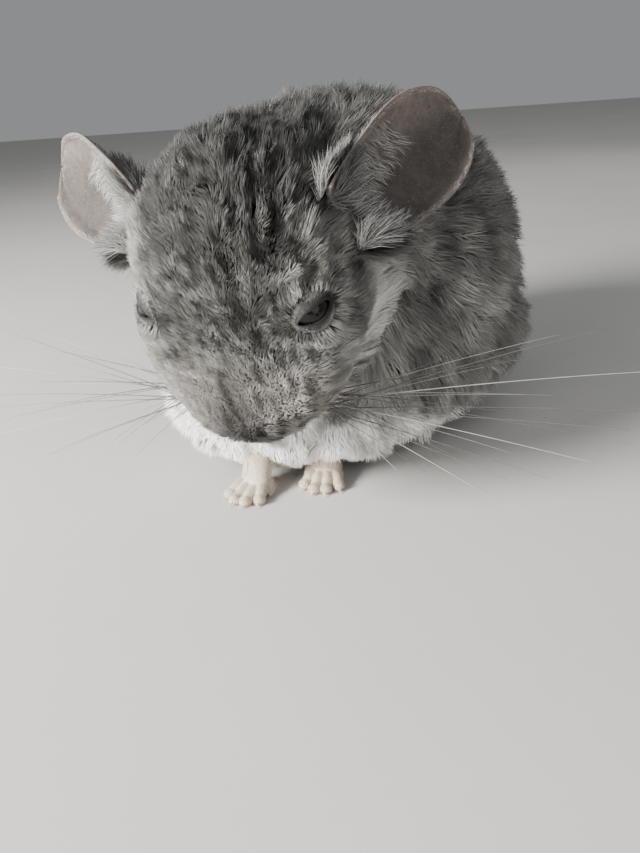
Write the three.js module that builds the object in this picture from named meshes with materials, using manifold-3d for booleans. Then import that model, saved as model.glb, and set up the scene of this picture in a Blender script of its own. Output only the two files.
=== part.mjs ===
// A life-size chinchilla sitting hunched on the floor, head bowed over its forepaws and ears laid back.
// Millimetres, +Z up. The animal faces -Y, and its left side is +X.
// The outer surface is the tips of its plush coat.
import * as THREE from "three";
import { mergeVertices } from "three/addons/utils/BufferGeometryUtils.js";
import Module from "manifold-3d";

const wasm = await Module();
wasm.setup();

// Driving dimensions
const BODY_WIDTH = 150;
const BODY_HEIGHT = 129;
const BODY_LENGTH = 154;
const HEAD_LENGTH = 88;
const HEAD_WIDTH = 68;
const EAR_LENGTH = 50;
const EAR_WIDTH = 33;
const EYE_RADIUS = 6.4;
const FOREPAW_WIDTH = 13;
const HINDFOOT_LENGTH = 58;
const WHISKER_LENGTH = 98;
const GAP = 0.35;
const BELLY_CLEARANCE = 2;
const SIDES = { left: 1, right: -1 };

// Head pose: where the middle of the head is, how far the muzzle is bowed, and its turn to the left
const HEAD_AT = [0.8, -90, 80];
const HEAD_BOW = 71;
const HEAD_TURN = -2;
const HEAD_ROLL = 1;

// Colours, as the coat shows them
const COAT = {
  back: 0x55565a,
  head: 0x66666a,
  ear: 0x6d6a66,
  belly: 0xe9e6e1,
  paw: 0xe3d6c8,
  eye: 0x120e0c,
  tail: 0x4a4a4e,
};

// Small tools

const radians = THREE.MathUtils.degToRad;
const mix = THREE.MathUtils.lerp;

// A seeded random draw, the same in every run
function draws(seed) {
  let state = seed;
  return () => {
    state = (state * 1664525 + 1013904223) % 4294967296;
    return state / 4294967296;
  };
}

function geometryOf(positions, indices) {
  const geometry = new THREE.BufferGeometry();
  geometry.setAttribute("position", new THREE.Float32BufferAttribute(positions, 3));
  geometry.setIndex(indices);
  return geometry;
}

function solidOf(geometry) {
  const bare = geometry.clone();
  bare.deleteAttribute("normal");
  bare.deleteAttribute("uv");
  const merged = mergeVertices(bare, 1e-4);
  return new wasm.Manifold(
    new wasm.Mesh({
      numProp: 3,
      vertProperties: new Float32Array(merged.attributes.position.array),
      triVerts: new Uint32Array(merged.index.array),
    }),
  );
}

// The largest closed surface of a solid, with any sealed hollow filled and loose scraps dropped
function largestOf(solid) {
  const bodies = solid.decompose();
  return bodies.reduce((most, body) => (body.volume() > most.volume() ? body : most));
}

function meshOf(name, solid, color, roughness = 0.9) {
  const mesh = largestOf(solid).getMesh();
  const geometry = geometryOf(mesh.vertProperties, Array.from(mesh.triVerts));
  geometry.computeVertexNormals();
  const material = new THREE.MeshStandardMaterial({ color, roughness, metalness: 0 });
  const made = new THREE.Mesh(geometry, material);
  made.name = name;
  return made;
}

const union = (solids) => solids.reduce((sum, solid) => sum.add(solid));
const cutAll = (solid, cutters) => cutters.reduce((left, cutter) => left.subtract(cutter), solid);

// Lobes and blobs: a blob is the smooth union of ellipsoid lobes, meshed from its middle outwards

function lobe(at, half, turn = [0, 0, 0]) {
  const turned = new THREE.Quaternion().setFromEuler(new THREE.Euler(...turn.map(radians)));
  return { at: new THREE.Vector3(...at), half: new THREE.Vector3(...half), back: turned.invert() };
}

function mirrored(at, half, turn = [0, 0, 0]) {
  return [
    lobe(at, half, turn),
    lobe([-at[0], at[1], at[2]], half, [turn[0], -turn[1], -turn[2]]),
  ];
}

// The distance from a point to an ellipsoid's surface, close enough near the surface
function lobeDistance({ at, half, back }, point) {
  const local = point.clone().sub(at).applyQuaternion(back);
  const near = local.clone().divide(half).length();
  const steep = local.clone().divide(half).divide(half).length();
  return steep < 1e-9 ? -Math.min(half.x, half.y, half.z) : (near * (near - 1)) / steep;
}

function blobDistance(lobes, point, blend) {
  const distances = lobes.map((one) => lobeDistance(one, point));
  const least = Math.min(...distances);
  const sum = distances.reduce((total, d) => total + Math.exp((least - d) / blend), 0);
  return least - blend * Math.log(sum);
}

// middle is inside the blob. Rings run from pole to pole along the axis given. grow moves the surface out.
function blob(lobes, settings) {
  const { middle, rings, sectors, axis = [0, 0, 1], reach = 130 } = settings;
  const { blend = 5, grow = 0, floor = null } = settings;
  const centre = new THREE.Vector3(...middle);
  const turn = new THREE.Quaternion().setFromUnitVectors(
    new THREE.Vector3(0, 0, 1),
    new THREE.Vector3(...axis).normalize(),
  );
  const surfacePoint = (polar, around) => {
    const way = new THREE.Vector3(
      Math.sin(polar) * Math.cos(around),
      Math.sin(polar) * Math.sin(around),
      Math.cos(polar),
    ).applyQuaternion(turn);
    const at = (r) => centre.clone().addScaledVector(way, r);
    let outside = reach;
    let inside = 0;
    for (let r = reach; r > 0; r -= 2) {
      if (blobDistance(lobes, at(r), blend) < grow) {
        inside = r;
        outside = r + 2;
        break;
      }
    }
    for (let step = 0; step < 14; step++) {
      const r = (inside + outside) / 2;
      if (blobDistance(lobes, at(r), blend) < grow) inside = r;
      else outside = r;
    }
    const point = at(inside);
    if (floor !== null) point.z = Math.max(point.z, floor - grow);
    return point.toArray();
  };
  const positions = [...surfacePoint(0, 0)];
  for (let i = 1; i < rings; i++) {
    for (let j = 0; j < sectors; j++) {
      positions.push(...surfacePoint((Math.PI * i) / rings, (2 * Math.PI * j) / sectors));
    }
  }
  positions.push(...surfacePoint(Math.PI, 0));
  const last = positions.length / 3 - 1;
  const at = (i, j) => 1 + (i - 1) * sectors + (j % sectors);
  const indices = [];
  for (let j = 0; j < sectors; j++) {
    indices.push(0, at(1, j), at(1, j + 1));
    indices.push(last, at(rings - 1, j + 1), at(rings - 1, j));
    for (let i = 1; i < rings - 1; i++) {
      indices.push(at(i, j), at(i + 1, j), at(i + 1, j + 1));
      indices.push(at(i, j), at(i + 1, j + 1), at(i, j + 1));
    }
  }
  return solidOf(geometryOf(positions, indices));
}

// Lofts: closed loops of points, all of one length, joined one to the next and closed at both ends

function loft(loops) {
  const size = loops[0].length;
  const positions = loops.flat().flatMap((p) => p.toArray());
  const middleOf = (loop) =>
    loop.reduce((sum, p) => sum.add(p), new THREE.Vector3()).divideScalar(size);
  const first = positions.length / 3;
  positions.push(...middleOf(loops[0]).toArray(), ...middleOf(loops.at(-1)).toArray());
  const indices = [];
  for (let j = 0; j < size; j++) {
    const next = (j + 1) % size;
    for (let i = 0; i + 1 < loops.length; i++) {
      const low = i * size;
      const high = low + size;
      indices.push(low + j, low + next, high + next);
      indices.push(low + j, high + next, high + j);
    }
    const end = (loops.length - 1) * size;
    indices.push(first, next, j);
    indices.push(first + 1, end + j, end + next);
  }
  const solid = solidOf(geometryOf(positions, indices));
  return solid.volume() > 0 ? solid : solidOf(geometryOf(positions, indices.reverse()));
}

// A tube of round or flattened section along a curve. radii(t) gives its half-width and half-height.
function tube(curve, radii, { steps, sides, up = [0, 0, 1] }) {
  const loops = [];
  for (let i = 0; i <= steps; i++) {
    const t = i / steps;
    const along = curve.getTangent(t);
    const across = new THREE.Vector3().crossVectors(along, new THREE.Vector3(...up)).normalize();
    const over = new THREE.Vector3().crossVectors(across, along).normalize();
    const [wide, high] = radii(t);
    const at = curve.getPoint(t);
    loops.push(
      Array.from({ length: sides }, (_, k) => {
        const turn = (2 * Math.PI * (k + 0.5)) / sides;
        return at
          .clone()
          .addScaledVector(across, wide * Math.cos(turn))
          .addScaledVector(over, high * Math.sin(turn));
      }),
    );
  }
  return loft(loops);
}

const curveThrough = (points) =>
  new THREE.CatmullRomCurve3(points.map((p) => (p.isVector3 ? p : new THREE.Vector3(...p))));

// A flat lock of coat: broad near its root, bending along its lie to a fine tip
function lock(root, tip, { wide, thick, bend = 0.12, steps = 2, up }) {
  const middle = root.clone().lerp(tip, 0.5).addScaledVector(up, bend * root.distanceTo(tip));
  const curve = new THREE.QuadraticBezierCurve3(root, middle, tip);
  const share = (t) => Math.max(0.07, Math.sin(Math.PI * Math.min(1, 0.34 + 0.66 * t)) ** 0.8);
  return tube(curve, (t) => [wide * share(t), thick * share(t)], { steps, sides: 3, up: up.toArray() });
}

// Everything below the floor is cut away, which leaves the flats that a foot or the tail rests on
const restingOnFloor = (solid) => solid.trimByPlane([0, 0, 1], 0);

// Head frame: the head is shaped level, facing -Y, and then set in its pose
const headPose = new THREE.Matrix4().compose(
  new THREE.Vector3(...HEAD_AT),
  new THREE.Quaternion().setFromEuler(
    new THREE.Euler(radians(HEAD_BOW), radians(HEAD_ROLL), radians(HEAD_TURN), "ZXY"),
  ),
  new THREE.Vector3(1, 1, 1),
);
const posed = (solid) => solid.transform(headPose.toArray());
const onHead = (p) => new THREE.Vector3(...p).applyMatrix4(headPose);

const headHalf = HEAD_WIDTH / 2;
const noseY = -0.54 * HEAD_LENGTH;

const HEAD_LOBES = [
  lobe([0, 10, 1], [headHalf * 0.97, 0.39 * HEAD_LENGTH, 27]),
  ...mirrored([18.2, -9, -7], [20.1, 26.5, 20.8], [0, 0, 8]),
  lobe([0, -26, -6], [25, 20, 15.5]),
  lobe([0, noseY + 10, -7], [15, 10.5, 10]),
  lobe([0, noseY + 15, -16], [12, 12, 6]),
];

function headBlob(grow = 0) {
  return blob(HEAD_LOBES, {
    middle: [0, -6, -3],
    rings: 20,
    sectors: 26,
    blend: 3.2,
    grow,
    axis: [0, -1, 0],
    reach: 70,
  });
}

// Eyes: each ball is set just under the coat, behind lids that leave a narrow slanting opening
const EYE_TOWARDS = [25, -9, 9];
const EYE_DEPTH = 2.2;
const LID = 2.4;
const LID_SLANT = -35;

function eyePlace(side) {
  const way = new THREE.Vector3(EYE_TOWARDS[0] * side, EYE_TOWARDS[1], EYE_TOWARDS[2]).normalize();
  let r = 60;
  while (blobDistance(HEAD_LOBES, way.clone().multiplyScalar(r), 3.2) > 0) r -= 0.1;
  return { way, at: way.clone().multiplyScalar(r - EYE_DEPTH - EYE_RADIUS).toArray() };
}

function ball(at, radius, around = 14, high = 9) {
  return solidOf(new THREE.SphereGeometry(radius, around, high).translate(...at));
}

function eyeOpening(side) {
  const { way, at } = eyePlace(side);
  const turned = new THREE.Matrix4().lookAt(way, new THREE.Vector3(), new THREE.Vector3(0, -0.35, 1));
  const almond = new THREE.SphereGeometry(1, 14, 8)
    .scale(EYE_RADIUS * 0.84, EYE_RADIUS * 0.36, EYE_RADIUS)
    .rotateZ(radians(LID_SLANT * side))
    .applyMatrix4(turned)
    .translate(...new THREE.Vector3(...at).addScaledVector(way, EYE_RADIUS * 0.9).toArray());
  return solidOf(almond);
}

// Nostrils and the line of the mouth
function nostril(side) {
  const slit = new THREE.SphereGeometry(1, 10, 8)
    .scale(1.1, 2.4, 2)
    .rotateZ(radians(35 * side))
    .translate(3.4 * side, noseY + 1.2, -3);
  return solidOf(slit);
}

function mouthLine() {
  const at = (x) => [x * 8.5, noseY + 3.5 + 9 * x * x, -12.2 + 2.2 * (1 - x * x)];
  const points = [-1, -0.5, 0, 0.5, 1].map(at);
  return tube(curveThrough(points), () => [1.9, 0.45], { steps: 10, sides: 6 });
}

// Whisker pads: the swollen upper lips, from which the whiskers fan out
const PAD_AT = [15, noseY + 13, -10];
const PAD_HALF = [10.5, 10.5, 8];
const padLobes = (side) => [lobe([PAD_AT[0] * side, PAD_AT[1], PAD_AT[2]], PAD_HALF, [0, 0, 24 * side])];

function padBlob(side, grow = 0) {
  const middle = [PAD_AT[0] * side, PAD_AT[1], PAD_AT[2]];
  const grid = { rings: 8, sectors: 12, axis: [side, 0, 0] };
  return blob(padLobes(side), { ...grid, middle, blend: 1, grow, reach: 20 });
}

const WHISKER_ROWS = [
  { lift: 14, sweep: 14, share: 0.92 },
  { lift: 8, sweep: 2, share: 1 },
  { lift: 3, sweep: 22, share: 0.86 },
  { lift: -2, sweep: 10, share: 1 },
  { lift: -7, sweep: -8, share: 0.82 },
  { lift: -12, sweep: 16, share: 0.9 },
  { lift: -18, sweep: 2, share: 0.74 },
  { lift: -25, sweep: -12, share: 0.62 },
  { lift: -31, sweep: 6, share: 0.5 },
];

const WHISKER_SWING = 8;

// Each whisker is aimed in the standing animal's own frame: out to the side, lifted and swept back in degrees
function whisker(side, { lift, sweep, share }, index, grow = 0) {
  const row = index / (WHISKER_ROWS.length - 1);
  const root = onHead([
    (PAD_AT[0] + 3.5) * side,
    PAD_AT[1] - 3 + 7 * ((index * 0.37) % 1),
    PAD_AT[2] + 3 - 6 * row,
  ]);
  const length = WHISKER_LENGTH * share;
  const way = new THREE.Vector3(
    side * Math.cos(radians(lift)) * Math.cos(radians(sweep + WHISKER_SWING * side)),
    Math.sin(radians(sweep + WHISKER_SWING * side)),
    Math.sin(radians(lift)),
  );
  const middle = root.clone().addScaledVector(way, length * 0.5);
  const tip = root.clone().addScaledVector(way, length);
  tip.z -= 0.07 * length;
  tip.y += 0.06 * length;
  tip.z = Math.max(tip.z, 2.5);
  const curve = new THREE.QuadraticBezierCurve3(root, middle, tip);
  return tube(
    curve,
    (t) => {
      const round = mix(0.42, 0.16, t) + grow;
      return [round, round];
    },
    { steps: 5, sides: 3 },
  );
}

function whiskerPad(side, grow = 0) {
  const whiskers = WHISKER_ROWS.map((row, index) => whisker(side, row, index, grow));
  return union([posed(padBlob(side, grow)), ...whiskers]);
}

// Ears: a thin cup, rolled at its broad root and opening to a rounded blade.
// Both are laid back and out; along runs to the tip, and the hollow of the cup looks towards facing.
const EAR_SINK = 10;
const EARS = {
  left: { root: [34, -89, 98], along: [15, 33, 17], facing: [0.7, -0.6, 0.3] },
  right: { root: [-32, -90, 98], along: [-35, 22, 12], facing: [-0.64, -0.72, 0.25] },
};

function ear({ root, along, facing }, side, grow = 0) {
  const rows = 10;
  const columns = 6;
  const widest = 0.54;
  const total = EAR_LENGTH + EAR_SINK + grow;
  const a = new THREE.Vector3(...along).normalize();
  const n = new THREE.Vector3(...facing).addScaledVector(a, -new THREE.Vector3(...facing).dot(a)).normalize();
  const b = new THREE.Vector3().crossVectors(a, n).multiplyScalar(side);
  const halfWidth = (t) => {
    const base = 0.62;
    const half = EAR_WIDTH / 2 + grow;
    if (t < widest) return half * (base + (1 - base) * Math.sin((Math.PI / 2) * (t / widest)) ** 1.2);
    return half * Math.sqrt(Math.max(0.03, 1 - ((t - widest) / (1 - widest)) ** 2.3));
  };
  const wrapAngle = (t) => radians(mix(140, 62, Math.min(1, t * 1.5) ** 0.8));
  const sheet = (t, v, out) => {
    const wrap = wrapAngle(t);
    const radius = (2 * halfWidth(t)) / wrap;
    const angle = (v * wrap) / 2;
    const thick = mix(3.2, 1.4, Math.min(1, t * 1.6)) * (1 - 0.3 * v * v) + 2 * grow;
    const reach = radius + (out * thick) / 2;
    return new THREE.Vector3(...root)
      .addScaledVector(b, reach * Math.sin(angle) + 2.5 * t * t)
      .addScaledVector(n, radius * Math.cos(wrap / 4) - reach * Math.cos(angle))
      .addScaledVector(a, total * t - EAR_SINK);
  };
  const across = Array.from({ length: columns + 1 }, (_, k) => (2 * k) / columns - 1);
  const loops = Array.from({ length: rows + 1 }, (_, i) => {
    const t = i / rows;
    return [...across.map((v) => sheet(t, v, 1)), ...across.toReversed().map((v) => sheet(t, v, -1))];
  });
  const size = loops[0].length;
  const indices = [];
  for (let j = 0; j < size; j++) {
    const next = (j + 1) % size;
    for (let i = 0; i < rows; i++) {
      const low = i * size;
      const high = low + size;
      indices.push(low + j, low + next, high + next, low + j, high + next, high + j);
    }
  }
  for (let k = 0; k < columns; k++) {
    const [p, q, r, s] = [k, k + 1, size - 2 - k, size - 1 - k];
    const end = rows * size;
    indices.push(p, r, q, p, s, r);
    indices.push(end + p, end + q, end + r, end + p, end + r, end + s);
  }
  const positions = loops.flat().flatMap((p) => p.toArray());
  const solid = solidOf(geometryOf(positions, indices));
  return solid.volume() > 0 ? solid : solidOf(geometryOf(positions, indices.toReversed()));
}

// Neck: the thick fur collar behind the head
const NECK_LOBES = [
  lobe([-2, -45, 86], [55, 36, 41]),
  lobe([0, -52, 56], [54, 32, 34]),
];
const neckGrid = { rings: 13, sectors: 22, axis: [0, -1, 0.2] };
const neckBlob = (grow = 0) => blob(NECK_LOBES, { ...neckGrid, middle: [1, -52, 76], grow, reach: 80 });

// Torso: a plush dumpling, full down to a hem that turns under just above the floor, with the bib in front
const TORSO_LOBES = [
  lobe([0, 12, BODY_HEIGHT - 66], [0.48 * BODY_WIDTH, 0.43 * BODY_LENGTH, 65]),
  lobe([-1, -18, BODY_HEIGHT - 68], [0.46 * BODY_WIDTH, 0.39 * BODY_LENGTH, 66]),
  lobe([0, 4, 36], [0.48 * BODY_WIDTH, 0.47 * BODY_LENGTH, 36]),
  lobe([-1, 2, 15], [0.405 * BODY_WIDTH, 0.41 * BODY_LENGTH, 16]),
  lobe([-8, -46, 34], [52, 36, 30]),
  lobe([-12, -40, 19], [55, 39, 18]),
];

function torsoBlob(grow = 0) {
  return blob(TORSO_LOBES, {
    middle: [0, 0, 58],
    rings: 18,
    sectors: 28,
    blend: 4,
    grow,
    reach: 125,
    floor: BELLY_CLEARANCE,
  });
}

// Hind legs: the haunch bulges a little out of the ball, and the long foot lies flat below it
const haunchLobes = (side) => [lobe([49 * side, 14, 34], [27, 38, 30], [0, -12 * side, 0])];

function haunchBlob(side, grow = 0) {
  return blob(haunchLobes(side), {
    middle: [49 * side, 14, 34],
    rings: 11,
    sectors: 16,
    grow,
    reach: 60,
    floor: BELLY_CLEARANCE,
  });
}

// A toe is a tapered tube that arches down to the floor, with a short claw
function toe(from, to, radius, arch, clawLength) {
  const start = new THREE.Vector3(...from);
  const end = new THREE.Vector3(...to);
  const knuckle = start.clone().lerp(end, 0.5);
  knuckle.z += arch;
  const along = end.clone().sub(start).setZ(0).normalize();
  const digit = tube(
    new THREE.QuadraticBezierCurve3(start, knuckle, end),
    (t) => {
      const round = radius * (t > 0.85 ? 0.72 : mix(1.05, 0.92, t));
      return [round, round];
    },
    { steps: 4, sides: 6 },
  );
  const nail = tube(
    new THREE.QuadraticBezierCurve3(
      end.clone().addScaledVector(along, -radius * 0.5).setZ(end.z + radius * 0.25),
      end.clone().addScaledVector(along, clawLength * 0.4).setZ(end.z + radius * 0.2),
      end.clone().addScaledVector(along, clawLength).setZ(end.z - radius * 0.55),
    ),
    (t) => {
      const round = radius * mix(0.5, 0.16, t);
      return [round, round];
    },
    { steps: 2, sides: 4 },
  );
  return union([digit, nail]);
}

// The hollow in the coat that a foot stands in, along the line from its heel or wrist
function pocket(points, wide, high) {
  return tube(curveThrough(points), () => [wide, high], { steps: 4, sides: 8, up: [0, 0.01, 1] });
}

const HINDFOOT = { x: 33, heel: 40, width: 15, high: 10, splay: 4 };

const hindfootAt = (side, across, y, z) => {
  const { x, heel, splay } = HINDFOOT;
  return [side * (x + across + ((heel - y) / HINDFOOT_LENGTH) * splay), y, z];
};

function hindfoot(side) {
  const { heel, width, high } = HINDFOOT;
  const front = heel - HINDFOOT_LENGTH + 17;
  const at = (across, y, z) => hindfootAt(side, across, y, z);
  const sole = tube(
    curveThrough([at(0, heel, 4.4), at(0, mix(heel, front, 0.5), 3.8), at(0, front, 2.7)]),
    (t) => {
      const heelRound = Math.min(1, 0.55 + 3 * t);
      return [mix(0.36, 0.5, t) * width * heelRound, mix(0.55, 0.36, t) * high * heelRound];
    },
    { steps: 6, sides: 8 },
  );
  const toes = [-4.6, 0, 4.4].map((across, k) =>
    toe(at(across, front + 4, 3), at(across * 1.35, front - [12, 14, 11.5][k], 1.2), 2.7, 2.6, 3),
  );
  const small = toe(at(6.4, front + 13, 3), at(8.6, front + 2, 0.8), 1.9, 1.4, 2);
  return restingOnFloor(union([sole, ...toes, small]));
}

function hindfootPocket(side) {
  const { heel } = HINDFOOT;
  const front = heel - HINDFOOT_LENGTH - 3;
  const line = [heel + 1, mix(heel, front, 0.5), front].map((y) => hindfootAt(side, 1, y, 2));
  return pocket(line, 11.5, 10);
}

// Forelegs and forepaws: where each wrist is, where its toes point, and which paw is ahead
const FOREPAWS = {
  left: { wrist: [10.5, -61, 12], heading: 6, elbow: [20, -50, 34] },
  right: { wrist: [-10.5, -74, 12], heading: -10, elbow: [-19, -57, 34] },
};

function forepawAt({ wrist, heading }, forward, sideways, z) {
  const ahead = new THREE.Vector3(Math.sin(radians(heading)), -Math.cos(radians(heading)), 0);
  const across = new THREE.Vector3(-ahead.y, ahead.x, 0);
  return new THREE.Vector3(wrist[0], wrist[1], 0)
    .addScaledVector(ahead, forward)
    .addScaledVector(across, sideways)
    .setZ(z)
    .toArray();
}

function palm(paw, grow = 0) {
  const at = (forward, z) => forepawAt(paw, forward, 0, z);
  return tube(
    curveThrough([at(-1.5, 12), at(1, 7.3), at(4, 3.3), at(6.5, 1.9)]),
    (t) => [FOREPAW_WIDTH * mix(0.36, 0.43, t) + grow, mix(4.4, 2.3, t) + grow],
    { steps: 5, sides: 8, up: [0, 0.2, 1] },
  );
}

function forepaw(paw, side) {
  const at = (forward, sideways, z) => forepawAt(paw, forward, sideways, z);
  const spread = [-4.7, -1.6, 1.6, 4.7];
  const reach = [11.5, 14, 13.6, 11];
  const fingers = spread.map((s, k) => toe(at(4.5, s * 0.8, 3), at(reach[k], s * 1.28, 0.8), 1.75, 1.6, 1.7));
  const thumb = toe(at(1.5, -4.6 * side, 3.6), at(4.6, -6.4 * side, 0.9), 1.3, 0.6, 1);
  return restingOnFloor(union([palm(paw), ...fingers, thumb]));
}

const forepawPocket = (paw) => pocket([-3, 4, 13].map((forward) => forepawAt(paw, forward, 0, 3)), 9.5, 6.5);

function foreleg({ wrist, elbow }, grow = 0) {
  const middle = [mix(elbow[0], wrist[0], 0.6), mix(elbow[1], wrist[1], 0.7), 22];
  return tube(
    curveThrough([elbow, middle, [wrist[0], wrist[1] + 2, 9]]),
    (t) => [mix(12.5, 6.2, t) + grow, mix(12.5, 5.8, t) + grow],
    { steps: 5, sides: 10, up: [0, 1, 0.2] },
  );
}

// Tail: lies on the floor behind and curves to the animal's right, in three lengths with bristly locks
const TAIL_LINE = curveThrough([
  [0, 62, 17],
  [-4, 82, 12],
  [-20, 104, 11],
  [-46, 117, 10.5],
  [-74, 113, 10.5],
  [-98, 94, 11],
]);
const TAIL_PARTS = { root: [0, 0.36], middle: [0.36, 0.68], tip: [0.68, 1] };
const TAIL_CORE = 8.5;
const TAIL_ROWS = 8;
const TAIL_AROUND = 7;

function tailLock(row, k, random) {
  const t = (row + 0.15 + 0.5 * random()) / (TAIL_ROWS + 0.4);
  const turn = (2 * Math.PI * (k + 0.5 * (row % 2) + 0.3 * random())) / TAIL_AROUND;
  const at = TAIL_LINE.getPointAt(t);
  const along = TAIL_LINE.getTangentAt(t);
  const across = new THREE.Vector3().crossVectors(along, new THREE.Vector3(0, 0, 1)).normalize();
  const over = new THREE.Vector3().crossVectors(across, along).normalize();
  const out = across.multiplyScalar(Math.cos(turn)).addScaledVector(over, Math.sin(turn));
  const length = mix(20, 30, t) * (0.85 + 0.3 * random());
  const stand = TAIL_CORE * 0.8 + length * mix(0.34, 0.24, t);
  const root = at.clone().addScaledVector(out, TAIL_CORE * 0.45);
  const tip = at.clone().addScaledVector(along, length).addScaledVector(out, stand);
  tip.z = Math.max(tip.z, 0.6);
  return lock(root, tip, { wide: 5.6, thick: 2.4, up: out });
}

function tail() {
  const random = draws(11);
  const core = tube(
    TAIL_LINE,
    (t) => {
      const round = TAIL_CORE * (1 - 0.35 * t);
      return [round, round];
    },
    { steps: 14, sides: 8 },
  );
  const locks = [];
  for (let row = 0; row < TAIL_ROWS; row++) {
    for (let k = 0; k < TAIL_AROUND; k++) locks.push(tailLock(row, k, random));
  }
  return restingOnFloor(union([core, ...locks]));
}

// One length of the tail: what is left of it between two planes square to its line
function tailLength(whole, [from, to]) {
  const trimmed = (solid, t, way) => {
    const square = TAIL_LINE.getTangentAt(t).multiplyScalar(way);
    const offset = TAIL_LINE.getPointAt(t).dot(square) + GAP / 2;
    return solid.trimByPlane(square.toArray(), offset);
  };
  const front = from > 0 ? trimmed(whole, from, 1) : whole;
  return to < 1 ? trimmed(front, to, -1) : front;
}

// Assembly
const group = new THREE.Group();
const sides = Object.entries(SIDES);

const headWide = posed(headBlob(GAP));
const neckWide = neckBlob(GAP);
const earsWide = sides.map(([name, side]) => ear(EARS[name], side, GAP));

const lids = sides.map(([, side]) => ball(eyePlace(side).at, EYE_RADIUS + LID));
const faceCuts = sides.flatMap(([, side]) => [
  ball(eyePlace(side).at, EYE_RADIUS + GAP),
  eyeOpening(side),
  nostril(side),
]);
const face = posed(cutAll(union([headBlob(), ...lids]), [...faceCuts, mouthLine()]));
const padsWide = sides.map(([, side]) => whiskerPad(side, GAP));
group.add(meshOf("head", cutAll(face, padsWide), COAT.head));

for (const [name, side] of sides) {
  group.add(meshOf(`eye_${name}`, posed(ball(eyePlace(side).at, EYE_RADIUS)), COAT.eye, 0.15));
  group.add(meshOf(`ear_${name}`, ear(EARS[name], side).subtract(headWide), COAT.ear, 0.7));
  group.add(meshOf(`whisker_pad_${name}`, whiskerPad(side), COAT.head));
}

group.add(meshOf("neck", cutAll(neckBlob(), [headWide, ...earsWide]), COAT.back));

const limbsWide = sides.flatMap(([name, side]) => [
  haunchBlob(side, GAP),
  hindfootPocket(side),
  foreleg(FOREPAWS[name], GAP),
  forepawPocket(FOREPAWS[name]),
  palm(FOREPAWS[name], GAP),
]);
group.add(meshOf("torso", cutAll(torsoBlob(), [headWide, neckWide, ...earsWide, ...limbsWide]), COAT.back));

for (const [name, side] of sides) {
  const paw = FOREPAWS[name];
  group.add(meshOf(`hindleg_${name}`, haunchBlob(side).subtract(hindfootPocket(side)), COAT.back));
  group.add(meshOf(`hindfoot_${name}`, hindfoot(side), COAT.paw));
  const arm = cutAll(foreleg(paw), [palm(paw, GAP), headWide, neckWide]);
  group.add(meshOf(`foreleg_${name}`, arm, COAT.belly));
  group.add(meshOf(`forepaw_${name}`, forepaw(paw, side), COAT.paw));
}

const wholeTail = tail().subtract(torsoBlob(GAP));
for (const [part, span] of Object.entries(TAIL_PARTS)) {
  group.add(meshOf(`tail_${part}`, tailLength(wholeTail, span), COAT.tail));
}

// The origin is under the middle of the whole, at the level of the floor
group.updateMatrixWorld(true);
const box = new THREE.Box3().setFromObject(group);
const middle = box.getCenter(new THREE.Vector3());
group.position.set(-middle.x, -middle.y, -box.min.z);
group.updateMatrixWorld(true);

export default group;
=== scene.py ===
"""A life-size sitting chinchilla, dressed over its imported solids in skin, a plush coat and fine parts."""

import math

import bpy
import numpy as np
from mathutils import Matrix, Vector
from mathutils.bvhtree import BVHTree
from mathutils.kdtree import KDTree


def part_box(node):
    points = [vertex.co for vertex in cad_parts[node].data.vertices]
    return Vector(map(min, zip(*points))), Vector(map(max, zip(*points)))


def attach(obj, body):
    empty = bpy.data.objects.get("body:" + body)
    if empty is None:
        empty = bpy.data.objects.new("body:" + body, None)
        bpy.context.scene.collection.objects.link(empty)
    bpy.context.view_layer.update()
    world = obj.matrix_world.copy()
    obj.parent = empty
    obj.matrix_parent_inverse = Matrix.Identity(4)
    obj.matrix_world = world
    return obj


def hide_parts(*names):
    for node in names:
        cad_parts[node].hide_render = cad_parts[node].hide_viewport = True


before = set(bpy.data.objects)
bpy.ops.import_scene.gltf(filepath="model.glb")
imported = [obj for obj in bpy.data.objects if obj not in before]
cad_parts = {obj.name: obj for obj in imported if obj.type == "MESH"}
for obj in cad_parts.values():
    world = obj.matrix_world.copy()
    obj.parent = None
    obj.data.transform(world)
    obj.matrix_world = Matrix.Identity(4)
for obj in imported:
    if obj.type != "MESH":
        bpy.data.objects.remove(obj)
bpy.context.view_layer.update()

# Lengths in this script are millimetres until a mesh is made. The animal faces -Y and its left side is +X.
MM = 0.001
BODY = "root"
SIDES = {"left": 1, "right": -1}

# Repeated from the solids' source
HEAD_AT = np.array([0.8, -90.0, 80.0])
HEAD_BOW = 71
HEAD_TURN = -2
HEAD_ROLL = 1
EYE_IN_HEAD = np.array([22.40, -8.06, 8.06])
EYE_RADIUS = 6.4
EAR_LENGTH = 50
EAR_SINK = 10
EAR_WIDTH = 33
EARS = {
    "left": {"root": [34, -89, 98], "along": [15, 33, 17], "facing": [0.7, -0.6, 0.3]},
    "right": {"root": [-32, -90, 98], "along": [-35, 22, 12], "facing": [-0.64, -0.72, 0.25]},
}
PAD_AT = np.array([15.0, -34.5, -10.0])
PAD_REACH = 11.5
NOSE_TIP = [0, -46.5, -6]
NOSE_REACH = 3.6
WHISKER_LENGTH = 98
WHISKER_SWING = 8
WRISTS_AT = {"left": [10.5, -61], "right": [-10.5, -74]}
PAW_HEADINGS = {"left": 6, "right": -10}
HEEL_X = 33
HEEL_Y = 40
SOLE_LENGTH = 58
TAIL_LINE = [[0, 62, 17], [-4, 82, 12], [-20, 104, 11], [-46, 117, 10.5], [-74, 113, 10.5], [-98, 94, 11]]

# The skin. The solids stand GAP apart, and creases narrower than twice CREASE are filled before it is sunk
GAP = 0.35
CREASE = 3.0
OUTER_VOXEL = 1.6
CREASE_VOXEL = 1.5
SKIN_FLOOR = 1.0

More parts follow.
